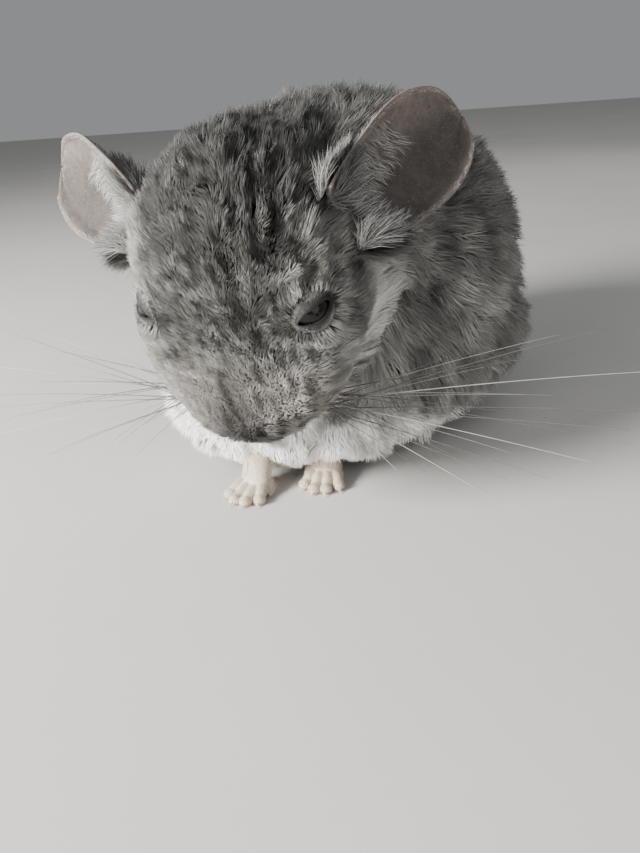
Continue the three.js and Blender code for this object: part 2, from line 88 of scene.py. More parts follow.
# The coat: tufts on a square millimetre, and for (body, head, face) how the tufts stand, clump and swell
BODY_DENSITY = 2.05
HEAD_DENSITY = 6.5
FACE_DENSITY = 7.5
WRIST_DENSITY = 5.0
FOREPAW_DENSITY = 9.0
HINDFOOT_DENSITY = 3.0
TAIL_DENSITY = 3.8
LEAN = (0.55, 0.42, 0.95)
CLUMP_SHARE = (0.024, 0.016, 0.012)
CLUMP_SIZE = (4.0, 3.2, 2.6)
CLUMP_GATHER = (1.0, 0.6, 0.35)
RELIEF_HEIGHT = (1.25, 0.85, 0.75)
TUFT_WIDTH = (0.29, 0.22, 0.17)
PIECE_TUFTS = 32000
UV_PATCH = 0.003

# How far lids and lid fur reach from the middle of an eye, along the opening and across it
LID_CORNER = 5.2
LID_RIM = (7.6, 7.0)


# Small tools


def unit(v):
    v = np.asarray(v, float)
    return v / np.maximum(np.linalg.norm(v, axis=-1, keepdims=True), 1e-9)


def smoothstep(low, high, x):
    t = np.clip((np.asarray(x, float) - low) / (high - low), 0, 1)
    return t * t * (3 - 2 * t)


def mix(a, b, t):
    return a + (b - a) * t


def by_area(values, on_head, on_face):
    """A value for each point out of three, for the body, the head and the face."""
    body, head, face = values
    return mix(mix(body, head, on_head), face, on_face)


def per_row(values, rows):
    """A number for each row, shaped to multiply rows of vectors."""
    return np.broadcast_to(np.asarray(values, float), (rows,))[:, None]


def flat_part(ways, normals):
    """The part of each way that runs along the surface."""
    return ways - normals * (ways * normals).sum(1, keepdims=True)


def circle(count):
    """Angles spread evenly round a full turn."""
    return np.arange(count) * 2 * math.pi / count


def round_ways(polar, sectors):
    """Unit ways in rings: a ring for each angle from the pole, with a way for each sector."""
    polar, turn = np.asarray(polar)[:, None], circle(sectors)[None, :]
    ways = [np.sin(polar) * np.cos(turn), np.sin(polar) * np.sin(turn), np.cos(polar) + 0 * turn]
    return np.stack(ways, axis=2).reshape(-1, 3)


def arc(first, middle, last, t):
    """Points along a simple curve that leaves first towards middle and ends at last."""
    return (1 - t) ** 2 * first + 2 * t * (1 - t) * middle + t**2 * last


def waves(points, size, seed):
    """Smooth noise from -1 to 1, as a sum of waves that run every way, about size mm across."""
    rng = np.random.default_rng(seed)
    total = np.zeros(len(points))
    count = 9
    for _ in range(count):
        way = unit(rng.normal(size=3)) * (2 * math.pi / size) * rng.uniform(0.6, 1.5)
        total += np.sin(points @ way + rng.uniform(0, 2 * math.pi))
    return total / math.sqrt(count)


def turned(bow, roll, turn):
    return np.array(
        Matrix.Rotation(math.radians(turn), 3, "Z")
        @ Matrix.Rotation(math.radians(bow), 3, "X")
        @ Matrix.Rotation(math.radians(roll), 3, "Y")
    )


def mesh_arrays(mesh):
    """A mesh's points in mm and its triangles."""
    points = np.zeros(len(mesh.vertices) * 3)
    mesh.vertices.foreach_get("co", points)
    mesh.calc_loop_triangles()
    tris = np.zeros(len(mesh.loop_triangles) * 3, np.int64)
    mesh.loop_triangles.foreach_get("vertices", tris)
    return points.reshape(-1, 3) / MM, tris.reshape(-1, 3)


def node_mesh(name):
    return mesh_arrays(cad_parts[name].data)


def box_middle(name):
    low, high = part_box(name)
    return np.array((low + high) / 2) / MM


HEAD_TURNED = turned(HEAD_BOW, HEAD_ROLL, HEAD_TURN)
EYES = {side: box_middle(f"eye_{side}") for side in SIDES}
HEAD_MIDDLE = (EYES["left"] + EYES["right"]) / 2 - HEAD_TURNED @ (EYE_IN_HEAD * [0, 1, 1])
SHIFT = HEAD_MIDDLE - HEAD_AT


def in_head(points):
    return (points - HEAD_MIDDLE) @ HEAD_TURNED


def from_head(points):
    return np.asarray(points, float) @ HEAD_TURNED.T + HEAD_MIDDLE


def new_object(name, points, faces):
    """An object from points in mm and faces that all have one number of corners."""
    mesh = bpy.data.meshes.new(name)
    faces = np.asarray(faces)
    corners = faces.shape[1]
    mesh.vertices.add(len(points))
    mesh.vertices.foreach_set("co", (np.asarray(points, float) * MM).ravel())
    mesh.loops.add(faces.size)
    mesh.loops.foreach_set("vertex_index", faces.ravel().astype(np.int32))
    mesh.polygons.add(len(faces))
    mesh.polygons.foreach_set("loop_start", np.arange(len(faces), dtype=np.int32) * corners)
    mesh.update(calc_edges=True)
    mesh.validate()
    mesh.polygons.foreach_set("use_smooth", np.full(len(mesh.polygons), True))
    made = bpy.data.objects.new(name, mesh)
    bpy.context.scene.collection.objects.link(made)
    return made


def arrays_of(obj):
    """Points in mm, triangles and vertex normals of an object with its modifiers applied."""
    graph = bpy.context.evaluated_depsgraph_get()
    mesh = bpy.data.meshes.new_from_object(obj.evaluated_get(graph))
    points, tris = mesh_arrays(mesh)
    normals = np.zeros(len(mesh.vertices) * 3)
    mesh.vertices.foreach_get("normal", normals)
    bpy.data.meshes.remove(mesh)
    return points, tris, normals.reshape(-1, 3)


def joined(parts):
    """One set of points and triangles out of a list of them."""
    starts = np.cumsum([0] + [len(points) for points, _ in parts])
    tris = np.concatenate([tris + start for (_, tris), start in zip(parts, starts)])
    return np.concatenate([points for points, _ in parts]), tris


def fused(parts, voxel, rounds):
    """One closed surface round a list of (points, triangles): remeshed at voxel mm and smoothed."""
    rough = new_object("rough", *joined(parts))
    remesh = rough.modifiers.new("remesh", "REMESH")
    remesh.mode = "VOXEL"
    remesh.voxel_size = voxel * MM
    smooth = rough.modifiers.new("smooth", "SMOOTH")
    smooth.factor = 0.5
    smooth.iterations = rounds
    made = arrays_of(rough)
    mesh = rough.data
    bpy.data.objects.remove(rough)
    bpy.data.meshes.remove(mesh)
    return made


def inflated(points, tris, by):
    """The same triangles, with each point moved out so that parts that nearly touch overlap."""
    a, b, c = (points[tris[:, k]] for k in range(3))
    face = np.cross(b - a, c - a)
    normals = np.zeros_like(points)
    for k in range(3):
        np.add.at(normals, tris[:, k], face)
    return points + unit(normals) * by, tris


def grid_tris(rows, columns, closed):
    """Triangles of a grid of points, closed round its columns or open."""
    tris = []
    across = columns if closed else columns - 1
    for i in range(rows - 1):
        for j in range(across):
            a, b = i * columns + j, i * columns + (j + 1) % columns
            c, d = a + columns, b + columns
            tris += [(a, b, d), (a, d, c)]
    return tris


def closed_tube(line, radii, sides, up=(0, 0, 1)):
    """Points and triangles of a closed tube along a line, with a radius for each of its points."""
    line = np.asarray(line, float)
    along = unit(np.gradient(line, axis=0))
    across = unit(np.cross(along, up))
    over = np.cross(across, along)
    turn = circle(sides)
    ring = across[:, None] * np.cos(turn)[None, :, None] + over[:, None] * np.sin(turn)[None, :, None]
    points = (line[:, None] + ring * np.asarray(radii, float)[:, None, None]).reshape(-1, 3)
    tris = grid_tris(len(line), sides, True)
    last = (len(line) - 1) * sides
    points = np.concatenate([points, line[:1], line[-1:]])
    first_middle, last_middle = len(points) - 2, len(points) - 1
    for j in range(sides):
        k = (j + 1) % sides
        tris += [(first_middle, k, j), (last_middle, last + j, last + k)]
    return points, np.array(tris)


def curve_points(points, count):
    """Points evenly spread along a smooth curve through the ones given."""
    points = np.asarray(points, float)
    ends = np.concatenate([[2 * points[0] - points[1]], points, [2 * points[-1] - points[-2]]])
    fine = []
    for i in range(1, len(ends) - 2):
        p0, p1, p2, p3 = ends[i - 1 : i + 3]
        square, cube = 2 * p0 - 5 * p1 + 4 * p2 - p3, 3 * p1 - p0 - 3 * p2 + p3
        for t in np.linspace(0, 1, 40, endpoint=False):
            fine.append(0.5 * (2 * p1 + (p2 - p0) * t + square * t**2 + cube * t**3))
    fine = np.array(fine + [points[-1]])
    far = np.concatenate([[0], np.cumsum(np.linalg.norm(np.diff(fine, axis=0), axis=1))])
    wanted = np.linspace(0, far[-1], count)
    return np.stack([np.interp(wanted, far, fine[:, k]) for k in range(3)], axis=1)


# Materials


def material(name, roughness=0.7, specular=0.3):
    """A principled material and its node tools."""
    made = bpy.data.materials.new(name)
    made.use_nodes = True
    shader = made.node_tree.nodes["Principled BSDF"]
    shader.inputs["Roughness"].default_value = roughness
    shader.inputs["Specular IOR Level"].default_value = specular
    return made, made.node_tree.nodes, made.node_tree.links, shader


def noise_node(nodes, links, scale, detail=4, rough=0.6):
    place = nodes.new("ShaderNodeTexCoord")
    noise = nodes.new("ShaderNodeTexNoise")
    noise.inputs["Scale"].default_value = scale
    noise.inputs["Detail"].default_value = detail
    noise.inputs["Roughness"].default_value = rough
    links.new(place.outputs["Object"], noise.inputs["Vector"])
    return noise


def ramp_node(nodes, links, source, stops):
    ramp = nodes.new("ShaderNodeValToRGB")
    while len(ramp.color_ramp.elements) < len(stops):
        ramp.color_ramp.elements.new(0.5)
    for element, (at, colour) in zip(ramp.color_ramp.elements, stops):
        element.position = at
        element.color = (*colour, 1)
    links.new(source, ramp.inputs["Fac"])
    return ramp


def painted_material(name, roughness, grain_scale, grain, sheen=0.0, bump=0.0, specular=0.3):
    """Takes its colour from the mesh's own coat colours, broken up by a fine procedural grain."""
    made, nodes, links, shader = material(name, roughness, specular)
    paint = nodes.new("ShaderNodeVertexColor")
    paint.layer_name = "coat"
    noise = noise_node(nodes, links, grain_scale)
    ramp = ramp_node(nodes, links, noise.outputs["Fac"], [(0.3, (1 - grain,) * 3), (0.7, (1 + grain,) * 3)])
    blend = nodes.new("ShaderNodeMix")
    blend.data_type = "RGBA"
    blend.blend_type = "MULTIPLY"
    blend.inputs["Factor"].default_value = 1
    links.new(paint.outputs["Color"], blend.inputs["A"])
    links.new(ramp.outputs["Color"], blend.inputs["B"])
    links.new(blend.outputs["Result"], shader.inputs["Base Color"])
    shader.inputs["Sheen Weight"].default_value = sheen
    if bump:
        relief = nodes.new("ShaderNodeBump")
        relief.inputs["Strength"].default_value = bump
        relief.inputs["Distance"].default_value = 0.0004
        links.new(noise.outputs["Fac"], relief.inputs["Height"])
        links.new(relief.outputs["Normal"], shader.inputs["Normal"])
    return made


def two_tone_material(name, roughness, specular, scale, detail, dark, light):
    """A material whose colour drifts between two tones, each given with its place on the noise."""
    made, nodes, links, shader = material(name, roughness, specular)
    noise = noise_node(nodes, links, scale, detail)
    ramp = ramp_node(nodes, links, noise.outputs["Fac"], [dark, light])
    links.new(ramp.outputs["Color"], shader.inputs["Base Color"])
    return made, shader


FUR = painted_material("fur", 0.7, 900, 0.12, sheen=0.08, specular=0.18)
SKIN = painted_material("skin_under_fur", 0.85, 500, 0.2, bump=0.4)
EAR = painted_material("ear_skin", 0.5, 420, 0.16, bump=0.35, specular=0.35)
PAW = painted_material("paw_skin", 0.55, 700, 0.12, bump=0.5)
WHISKER = painted_material("whisker", 0.35, 300, 0.1, specular=0.5)
for thin, weight, depth in ((EAR, 0.15, 0.002), (PAW, 0.2, 0.0015)):
    thin.node_tree.nodes["Principled BSDF"].inputs["Subsurface Weight"].default_value = weight
    thin.node_tree.nodes["Principled BSDF"].inputs["Subsurface Scale"].default_value = depth

EYE, eye_shader = two_tone_material(
    "eye_wet", 0.1, 0.25, 260, 3, (0.35, (0.002, 0.0016, 0.0015)), (0.7, (0.009, 0.006, 0.005))
)
eye_shader.inputs["Coat Weight"].default_value = 0.2
eye_shader.inputs["Coat Roughness"].default_value = 0.02
CLAW, _ = two_tone_material(
    "claw_horn", 0.35, 0.5, 900, 3, (0.3, (0.42, 0.34, 0.27)), (0.7, (0.62, 0.53, 0.44))
)
FLOOR, _ = two_tone_material(
    "floor_pale", 0.9, 0.2, 6, 5, (0.3, (0.50, 0.49, 0.47)), (0.7, (0.54, 0.53, 0.51))
)


def finish_piece(obj, surface, slot, *nodes):
    """Gives a piece its material and body, and hides the solids' nodes that it stands for. slot is not used.
    """
    obj.data.materials.append(surface)
    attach(obj, BODY)
    if nodes:
        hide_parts(*nodes)


def paint(obj, colours):
    """Stores a linear colour for each point of the mesh, under the name that the materials read."""
    layer = obj.data.color_attributes.new("coat", "FLOAT_COLOR", "POINT")
    rgba = np.ones((len(obj.data.vertices), 4))
    rgba[:, :3] = colours
    layer.data.foreach_set("color", rgba.ravel())


# Markings, and the folds' painted light and shade: the same functions colour the skin and the coat

SLATE = np.array([0.022, 0.0215, 0.021])
TIP_DARK = np.array([0.025, 0.0242, 0.0228])
SILVER = np.array([0.47, 0.455, 0.425])
CREAM = np.array([0.90, 0.875, 0.84])
MUZZLE = np.array([0.178, 0.164, 0.151])
PAW_PINK = np.array([0.55, 0.37, 0.27])
PAW_FUR = np.array([0.88, 0.77, 0.62])
# Dark lid margin, darkened further as painted shade of the eye's socket
LID_MARGIN_AND_SHADE = np.array([0.02, 0.017, 0.016])
NOSE_PINK = np.array([0.20, 0.13, 0.115])
# Painted shade in the nostril pits
NOSTRIL_SHADE = np.array([0.012, 0.009, 0.009])
EAR_CUP = np.array([0.072, 0.060, 0.053])
EAR_BACK = np.array([0.105, 0.092, 0.084])
EAR_RIM = np.array([0.20, 0.175, 0.160])

# Painted light (above 0) and painted shade (below 0) on the coat's folds, on one side and mirrored on the
# other
FOLD_LIGHT_AND_SHADE = [
    ((38, -72, 66), 10, 0.50), ((42, -70, 54), 9, 0.50), ((36, -82, 76), 4, 0.25),
    ((20, -110, 84), 4.5, 0.45), ((25, -107, 66), 3.5, 0.05), ((23, -99, 108), 7, 0.50),
    ((9, -66, 121), 6, 0.25), ((64, -37, 66), 14, 0.42), ((17, -107, 51), 6, 0.25),
    ((34, -88, 88), 5, 0.45), ((24, -102, 92), 5, 0.20), ((30, -84, 103), 6, 0.20),
    ((35, -93, 82), 5, -0.30), ((31, -80, 48), 7, -0.35), ((50, -57, 48), 12, -0.30),
    ((7, -102, 112), 16, -0.20), ((28, -96, 98), 5, -0.20), ((45, -66, 84), 7, -0.20),
    ((12, -114, 70), 9, -0.28), ((33, -98, 70), 8, -0.38), ((57, -44, 84), 9, 0.20),
    ((26, -103, 58), 5, -0.20),
]

HEAD_HALF = np.array([36.0, 47.0, 31.0])
HEAD_OFFSET = np.array([0.0, 2.0, -3.0])


def head_share(points):
    """1 on the head, 0 away from it."""
    far = np.linalg.norm((in_head(points) - HEAD_OFFSET) / HEAD_HALF, axis=1)
    return 1 - smoothstep(0.98, 1.3, far)


def whiteness(points):
    """1 on the bib, belly, inner legs and chin, 0 on the grey of the back and sides."""
    p = points - SHIFT
    front = smoothstep(-20, -58, p[:, 1])
    edge = mix(14, 29, front) - 5 * smoothstep(34, 66, np.abs(p[:, 0]))
    edge += 3 * waves(points, 34, 3) + 2.5 * waves(points, 11, 4)
    low = 1 - smoothstep(edge - 4, edge + 8, p[:, 2])
    h = in_head(points)
    chin = head_share(points) * smoothstep(-8, -15, h[:, 2]) * smoothstep(8, -10, h[:, 1])
    return np.clip(np.maximum(low, chin), 0, 1)


def darkness(points):
    """How dark the tips are: darkest on the spine and the crown, pale on the cheeks and the lower sides."""
    p = points - SHIFT
    h = in_head(points)
    high = smoothstep(60, 122, p[:, 2])
    body = 0.47 + 0.54 * high - 0.10 * smoothstep(48, 24, p[:, 2])
    top = 1 - 0.40 * smoothstep(14, 29, np.abs(h[:, 0])) * (1 - smoothstep(0, 26, h[:, 1]))
    low_cheek = smoothstep(8, -14, h[:, 2]) * smoothstep(10, 24, np.abs(h[:, 0]))
    face = mix(0.62, 1.0, smoothstep(-34, 4, h[:, 1])) * top - 0.35 * low_cheek
    dark = mix(body, face, head_share(points))
    mirrored = p * [0, 1, 1] + np.abs(p) * [1, 0, 0]
    # Painted light and painted shade of the folds
    for place, size, light in FOLD_LIGHT_AND_SHADE:
        dark -= light * np.exp(-((np.linalg.norm(mirrored - place, axis=1) / size) ** 2))
    return np.clip(dark, 0, 1.1)


def base_colours(points, tone):
    """Root, middle and tip colours for tufts rooted at points. tone is how much lighter each one is."""
    white = whiteness(points)[:, None]
    mottle = 0.07 * waves(points, 15, 6) + 0.055 * waves(points, 6, 7) + 0.05 * waves(points, 3, 8)
    dark = np.clip(darkness(points) + mottle - tone, 0, 1)[:, None]
    h = in_head(points)
    muzzle = (0.75 * head_share(points) * smoothstep(-18, -38, h[:, 1]))[:, None]
    root = mix(mix(SLATE * 2, SLATE, dark), CREAM * 0.7, white)
    middle = mix(mix(SILVER * 1.1, SILVER * 0.10, dark**0.8), CREAM, white)
    tip = mix(mix(SILVER, TIP_DARK, dark**0.8), CREAM, white)
    bridge = 1 - smoothstep(3, 11, np.abs(h[:, :1]))
    lighter = mix(1.15, 0.62, dark) * mix(1.3, 0.5, bridge)
    middle = mix(middle, MUZZLE * lighter, muzzle * (1 - white))
    tip = mix(tip, MUZZLE * 1.2 * lighter, muzzle * (1 - white))
    return root, middle, tip


# The outer form of the coat, as the solids have it, and the skin inside it


def pad_hull(side):
    """The whisker pad without its whiskers: a small closed ball where the solid's own pad is."""
    points, _ = node_mesh(f"whisker_pad_{side}")
    middle = from_head(PAD_AT * [SIDES[side], 1, 1])
    near = points[np.linalg.norm(points - middle, axis=1) < PAD_REACH]
    rings, sectors = 9, 14
    ways = round_ways((np.arange(rings) + 0.5) * math.pi / rings, sectors)
    reach = np.array([np.max((near - middle) @ way) for way in ways])
    tris = grid_tris(rings, sectors, True)
    top, bottom = len(ways), len(ways) + 1
    for j in range(sectors):
        k = (j + 1) % sectors
        tris += [(top, j, k), (bottom, (rings - 1) * sectors + k, (rings - 1) * sectors + j)]
    pole = reach.mean() * 0.9
    ball = np.concatenate([ways * reach[:, None] * 0.92, [[0, 0, pole], [0, 0, -pole]]])
    tris = np.array(tris)
    a, b, c = (ball[tris[:, k]] for k in range(3))
    volume = np.einsum("ij,ij->i", a, np.cross(b, c)).sum()
    return ball + middle, tris if volume > 0 else tris[:, ::-1]


FLESH = ["head", "neck", "torso", "hindleg_left", "hindleg_right", "foreleg_left", "foreleg_right"]
WRISTS = {side: box_middle(f"forepaw_{side}") for side in SIDES}


def wrist_share(points):
    """1 near the forepaws, where the coat is short."""
    near = np.full(len(points), 1e9)
    for wrist in WRISTS.values():
        near = np.minimum(near, np.linalg.norm((points - wrist - [0, 8, 6]) * [1, 1, 0.7], axis=1))
    return 1 - smoothstep(11, 24, near)


def coat_depth(points):
    """The depth of the coat at each point of the outer form, in mm."""
    p = points - SHIFT
    h = in_head(points)
    body = mix(11, 16, smoothstep(8, 60, p[:, 2]))
    face = np.interp(h[:, 1], [-48, -38, -26, -12, 6, 24, 42], [0.9, 1.5, 2.3, 3.2, 4.4, 6.4, 9.0])
    cheek = smoothstep(16, 30, np.abs(h[:, 0])) * smoothstep(6, -8, h[:, 2]) * smoothstep(-34, -14, h[:, 1])
    depth = mix(body, face + 2.5 * cheek, head_share(points))
    return mix(depth, np.minimum(depth, 3.5), wrist_share(points))


outer_parts = [inflated(*node_mesh(name), GAP) for name in FLESH]
outer_parts += [inflated(*node_mesh(f"eye_{side}"), GAP) for side in SIDES]
outer_parts += [pad_hull(side) for side in SIDES]
outer_points, outer_tris, outer_normals = fused(outer_parts, OUTER_VOXEL, 5)
# Swelling the form and shrinking it back fills its narrow creases
for by in (CREASE, -CREASE):
    moved = outer_points + outer_normals * by
    outer_points, outer_tris, outer_normals = fused([(moved, outer_tris)], CREASE_VOXEL, 5)
outer_tree = BVHTree.FromPolygons(outer_points.tolist(), outer_tris.tolist())


def largest_piece(points, tris, normals):
    """Only the biggest connected surface."""
    label = np.arange(len(points))
    for _ in range(200):
        low = np.minimum.reduce([label[tris[:, 0]], label[tris[:, 1]], label[tris[:, 2]]])
        before = label.copy()
        for k in range(3):
            np.minimum.at(label, tris[:, k], low)
        label = label[label]
        if np.array_equal(before, label):
            break
    keep = label == np.bincount(label).argmax()
    index = np.cumsum(keep) - 1
    return points[keep], index[tris[keep[tris[:, 0]]]], normals[keep]


sunk = outer_points - outer_normals * coat_depth(outer_points)[:, None]
skin_points, skin_tris, skin_normals = largest_piece(*fused([(sunk, outer_tris)], OUTER_VOXEL, 6))
skin_points[:, 2] = np.maximum(skin_points[:, 2], SKIN_FLOOR)

# The skin shows the coat's root colours, and its middle colours where the coat is short
skin = new_object("skin", skin_points, skin_tris)
root_colour, under_colour, _ = base_colours(skin_points, np.zeros(len(skin_points)))
short_coat = 0.75 * (head_share(skin_points) * smoothstep(12, -20, in_head(skin_points)[:, 1]))[:, None]
paint(skin, mix(root_colour, under_colour, short_coat))
finish_piece(skin, SKIN, "grey_coat", *FLESH, "whisker_pad_left", "whisker_pad_right")


# Tufts


def rays_out(points, normals, fallback):
    """How far out the coat's outer form is from each point of the skin."""
    found = np.array(fallback, float)
    for i, (point, way) in enumerate(zip(points, normals)):
        hit = outer_tree.ray_cast(Vector(point + way * 0.2), Vector(way), 40)
        if hit[3] is not None:
            found[i] = hit[3] + 0.2
    return np.clip(found, 0.75 * fallback, 1.35 * fallback)


def sown(points, tris, normals, density, rng):
    """Roots spread evenly over a surface, their normals, and each one's triangle and place in it."""
    a, b, c = (points[tris[:, k]] for k in range(3))
    area = 0.5 * np.linalg.norm(np.cross(b - a, c - a), axis=1)
    share = np.cumsum(area * density)
    count = int(share[-1])
    marks = (np.arange(count) + rng.random(count)) * (share[-1] / count)
    which = np.minimum(np.searchsorted(share, marks), len(tris) - 1)
    u, v = rng.random(len(which)), rng.random(len(which))
    over = u + v > 1
    u[over], v[over] = 1 - u[over], 1 - v[over]
    weights = np.stack([1 - u - v, u, v], axis=1)
    roots = blended(points, tris, which, weights)
    return roots, unit(blended(normals, tris, which, weights)), which, weights


def blended(values, tris, which, weights):
    """Values of the mesh's points, blended to the places given."""
    corner = values[tris[which]]
    if corner.ndim == 2:
        return (corner * weights).sum(1)
    return (corner * weights[:, :, None]).sum(1)


def nearest_of(centres, points):
    tree = KDTree(len(centres))
    for i, centre in enumerate(centres):
        tree.insert(centre, i)
    tree.balance()
    return np.array([tree.find(point)[1] for point in points])


def unwrapped(roots, middle):
    """The roots' places on a round unwrap about the middle, spread over the whole square."""
    way = unit(roots - middle)
    around = np.arctan2(way[:, 0], -way[:, 1])
    height = np.arcsin(np.clip(way[:, 2], -1, 1))
    uv = np.stack([around, height], axis=1)
    low, high = uv.min(0), uv.max(0)
    return 0.01 + 0.975 * (uv - low) / np.maximum(high - low, 1e-6)


def leaned(roots, normals, lie, length, middle, tip):
    """Middles and tips of tufts, each placed by how far out and along the lie it is, in tuft lengths."""
    length = per_row(length, len(roots))
    return (roots + normals * length * out + lie * length * along for out, along in (middle, tip))


def tuft_piece(name, roots, normals, mids, tips, widths, colours, uv, slot, softness=0.6):
    """One piece of coat: closed three-sided tufts, each widest at its middle and fine at its tip."""
    count = len(roots)
    along = unit(tips - roots)
    across = unit(np.cross(along, normals))
    over = unit(np.cross(across, along))
    w = per_row(widths, count)
    ring = [-across, across, over * 0.9]
    points = np.stack([roots, *(mids + way * w for way in ring), tips], axis=1).reshape(-1, 3)
    pattern = np.array([[0, 1, 2], [0, 2, 3], [0, 3, 1], [1, 4, 2], [2, 4, 3], [3, 4, 1]])
    tris = (np.arange(count)[:, None, None] * 5 + pattern[None]).reshape(-1, 3)
    made = new_object(name, points, tris)
    root, middle, tip = colours
    paint(made, np.stack([root, middle, middle, middle, tip], axis=1).reshape(-1, 3))
    bend = [mix(way, normals, softness) for way in ring]
    shading = unit(np.stack([normals, *bend, mix(over, normals, softness)], axis=1).reshape(-1, 3))
    made.data.normals_split_custom_set_from_vertices(shading)
    layer = made.data.uv_layers.new(name="OFBake")
    spot = np.array([[0.5, 0], [0, 0.5], [1, 0.5], [0.5, 0.6], [0.5, 1]]) * UV_PATCH
    corners = np.zeros(len(made.data.loops), np.int32)
    made.data.loops.foreach_get("vertex_index", corners)
    places = (uv[:, None] + spot[None]).reshape(-1, 2)[corners]
    layer.data.foreach_set("uv", places.ravel())
    finish_piece(made, FUR, slot)


def tuft_pieces(name, parts, tufts, slot, softness=0.6):
    """Numbered pieces of coat. tufts has roots, normals, mids, tips, widths, three colours and UV."""
    for index, part in enumerate(parts):
        *shape, low, middle, high, uv = (rows[part] for rows in tufts)
        tuft_piece(f"{name}_{index + 1}", *shape, [low, middle, high], uv, slot, softness)


def lie_of(points, normals):
    """The way the coat lies at each root, along the surface: back over the head and body, down the sides."""
    p = points - SHIFT
    h = in_head(points)
    side = np.sign(p[:, 0])
    down = smoothstep(105, 35, p[:, 2])
    spread = np.clip(np.abs(p[:, 0]) / 60, 0, 1)
    fall = -0.12 - 0.95 * down - 0.35 * spread
    body = np.stack([side * spread * 0.45 * (1 - down), mix(0.95, 0.30, down), fall], axis=1)
    front = (smoothstep(-25, -60, p[:, 1]) * down)[:, None]
    chest = np.stack([0.12 * p[:, 0] / 40, np.full(len(p), -0.12), np.full(len(p), -1.0)], axis=1)
    body = mix(body, chest, front)
    back = np.stack([0.35 * h[:, 0] / 25, np.full(len(h), 1.0), -0.25 * np.abs(h[:, 0]) / 25 - 0.1], axis=1)
    sides = smoothstep(14, 30, np.abs(h[:, 0]))[:, None] * smoothstep(-36, -10, h[:, 1])[:, None]
    cheek = np.stack([0.3 * np.sign(h[:, 0]), np.full(len(h), 0.75), np.full(len(h), -0.75)], axis=1)
    head = mix(back, cheek, sides) @ HEAD_TURNED.T
    way = mix(unit(body), unit(head), head_share(points)[:, None])
    sway = 0.20 * np.stack([waves(points, 30, k) for k in (21, 22, 23)], axis=1)
    return unit(flat_part(way + sway * (1 - 0.6 * head_share(points)[:, None]), normals))


def ear_frame(side):
    """The ear's root, the way that it runs, the way that its cup faces, and the way across it."""
    facts = EARS[side]
    a = unit(np.array(facts["along"], float))
    n = np.array(facts["facing"], float)
    n = unit(n - a * (n @ a))
    return np.array(facts["root"], float) + SHIFT, a, n, np.cross(a, n) * SIDES[side]


def eye_axes(side):
    """The way that the eye looks out, the slanting line of its lids, and the way across them."""
    sign = SIDES[side]
    out = unit(HEAD_TURNED @ unit([0.696 * sign, -0.185, 0.694]))
    along = HEAD_TURNED @ unit([0.70 * sign, 0.617, -0.357])
    along = unit(along - out * (along @ out))
    return out, along, unit(np.cross(out, along)) * sign


def round_eyes(roots, normals, lie):
    """The lie turned to run away from each eye near it, and how near each root is to an eye."""
    close = np.zeros(len(roots))
    for side in SIDES:
        out, along, across = eye_axes(side)
        from_eye = roots - EYES[side]
        near = 1 - smoothstep(EYE_RADIUS, EYE_RADIUS + 6, np.linalg.norm(from_eye, axis=1))
        flat = from_eye - out * (from_eye @ out)[:, None]
        away = unit(along * (flat @ along)[:, None] * 0.5 + across * (flat @ across)[:, None] * 1.3)
        lie = mix(lie, away, (near * 0.85)[:, None])
        close = np.maximum(close, near)
    return unit(flat_part(lie, normals)), close


def in_eye_opening(points):
    """True where a point would stand in front of an eye's opening."""
    found = np.zeros(len(points), bool)
    for side in SIDES:
        out, along, across = eye_axes(side)
        from_eye = points - EYES[side]
        u, v, far = from_eye @ along, from_eye @ across, from_eye @ out
        found |= ((u / 6.0) ** 2 + (v / 2.6) ** 2 < 1) & (far > 0) & (far < EYE_RADIUS + 9)
    return found


def ear_base_share(points):
    """1 round the foot of each ear, the way that it stands there, and 1 where that is before its cup."""
    share = np.zeros(len(points))
    front = np.zeros(len(points))
    way = np.zeros((len(points), 3))
    for side in SIDES:
        root, a, n, _ = ear_frame(side)
        near = 1 - smoothstep(11, 21, np.linalg.norm(points - root - a * 2, axis=1))
        way = np.where((near > share)[:, None], a + n * 0.3, way)
        front = np.where(near > share, smoothstep(-3, 5, (points - root) @ n), front)
        share = np.maximum(share, near)
    return share, way, front


def relief_at(points, share):
    """The plush coat's swells and furrows, about -1 to 1: broad on the body and finer on the head."""
    broad, middle, fine = (waves(points, size, seed) for size, seed in [(19, 51), (9.5, 52), (5.5, 53)])
    return mix(0.62 * broad + 0.45 * middle, 0.55 * middle + 0.5 * fine, share)


def relief_of(points, normals, share):
    """The relief at each point and its slope along the surface."""
    here = relief_at(points, share)
    step = 0.5
    slope = np.stack([(relief_at(points + way * step, share) - here) / step for way in np.eye(3)], axis=1)
    return here, flat_part(slope, normals)


def face_share(points):
    """1 on the front of the head, 0 behind the ears and off the head."""
    return head_share(points) * smoothstep(18, -12, in_head(points)[:, 1])


def bare_at(points):
    """True where no tuft is rooted: in the eyes' openings, on the eyes and under the nose pad."""
    bare = in_eye_opening(points)
    for eye in EYES.values():
        bare |= np.linalg.norm(points - eye, axis=1) < EYE_RADIUS - 0.3
    return bare | (np.linalg.norm(points - from_head(NOSE_TIP), axis=1) < NOSE_REACH)


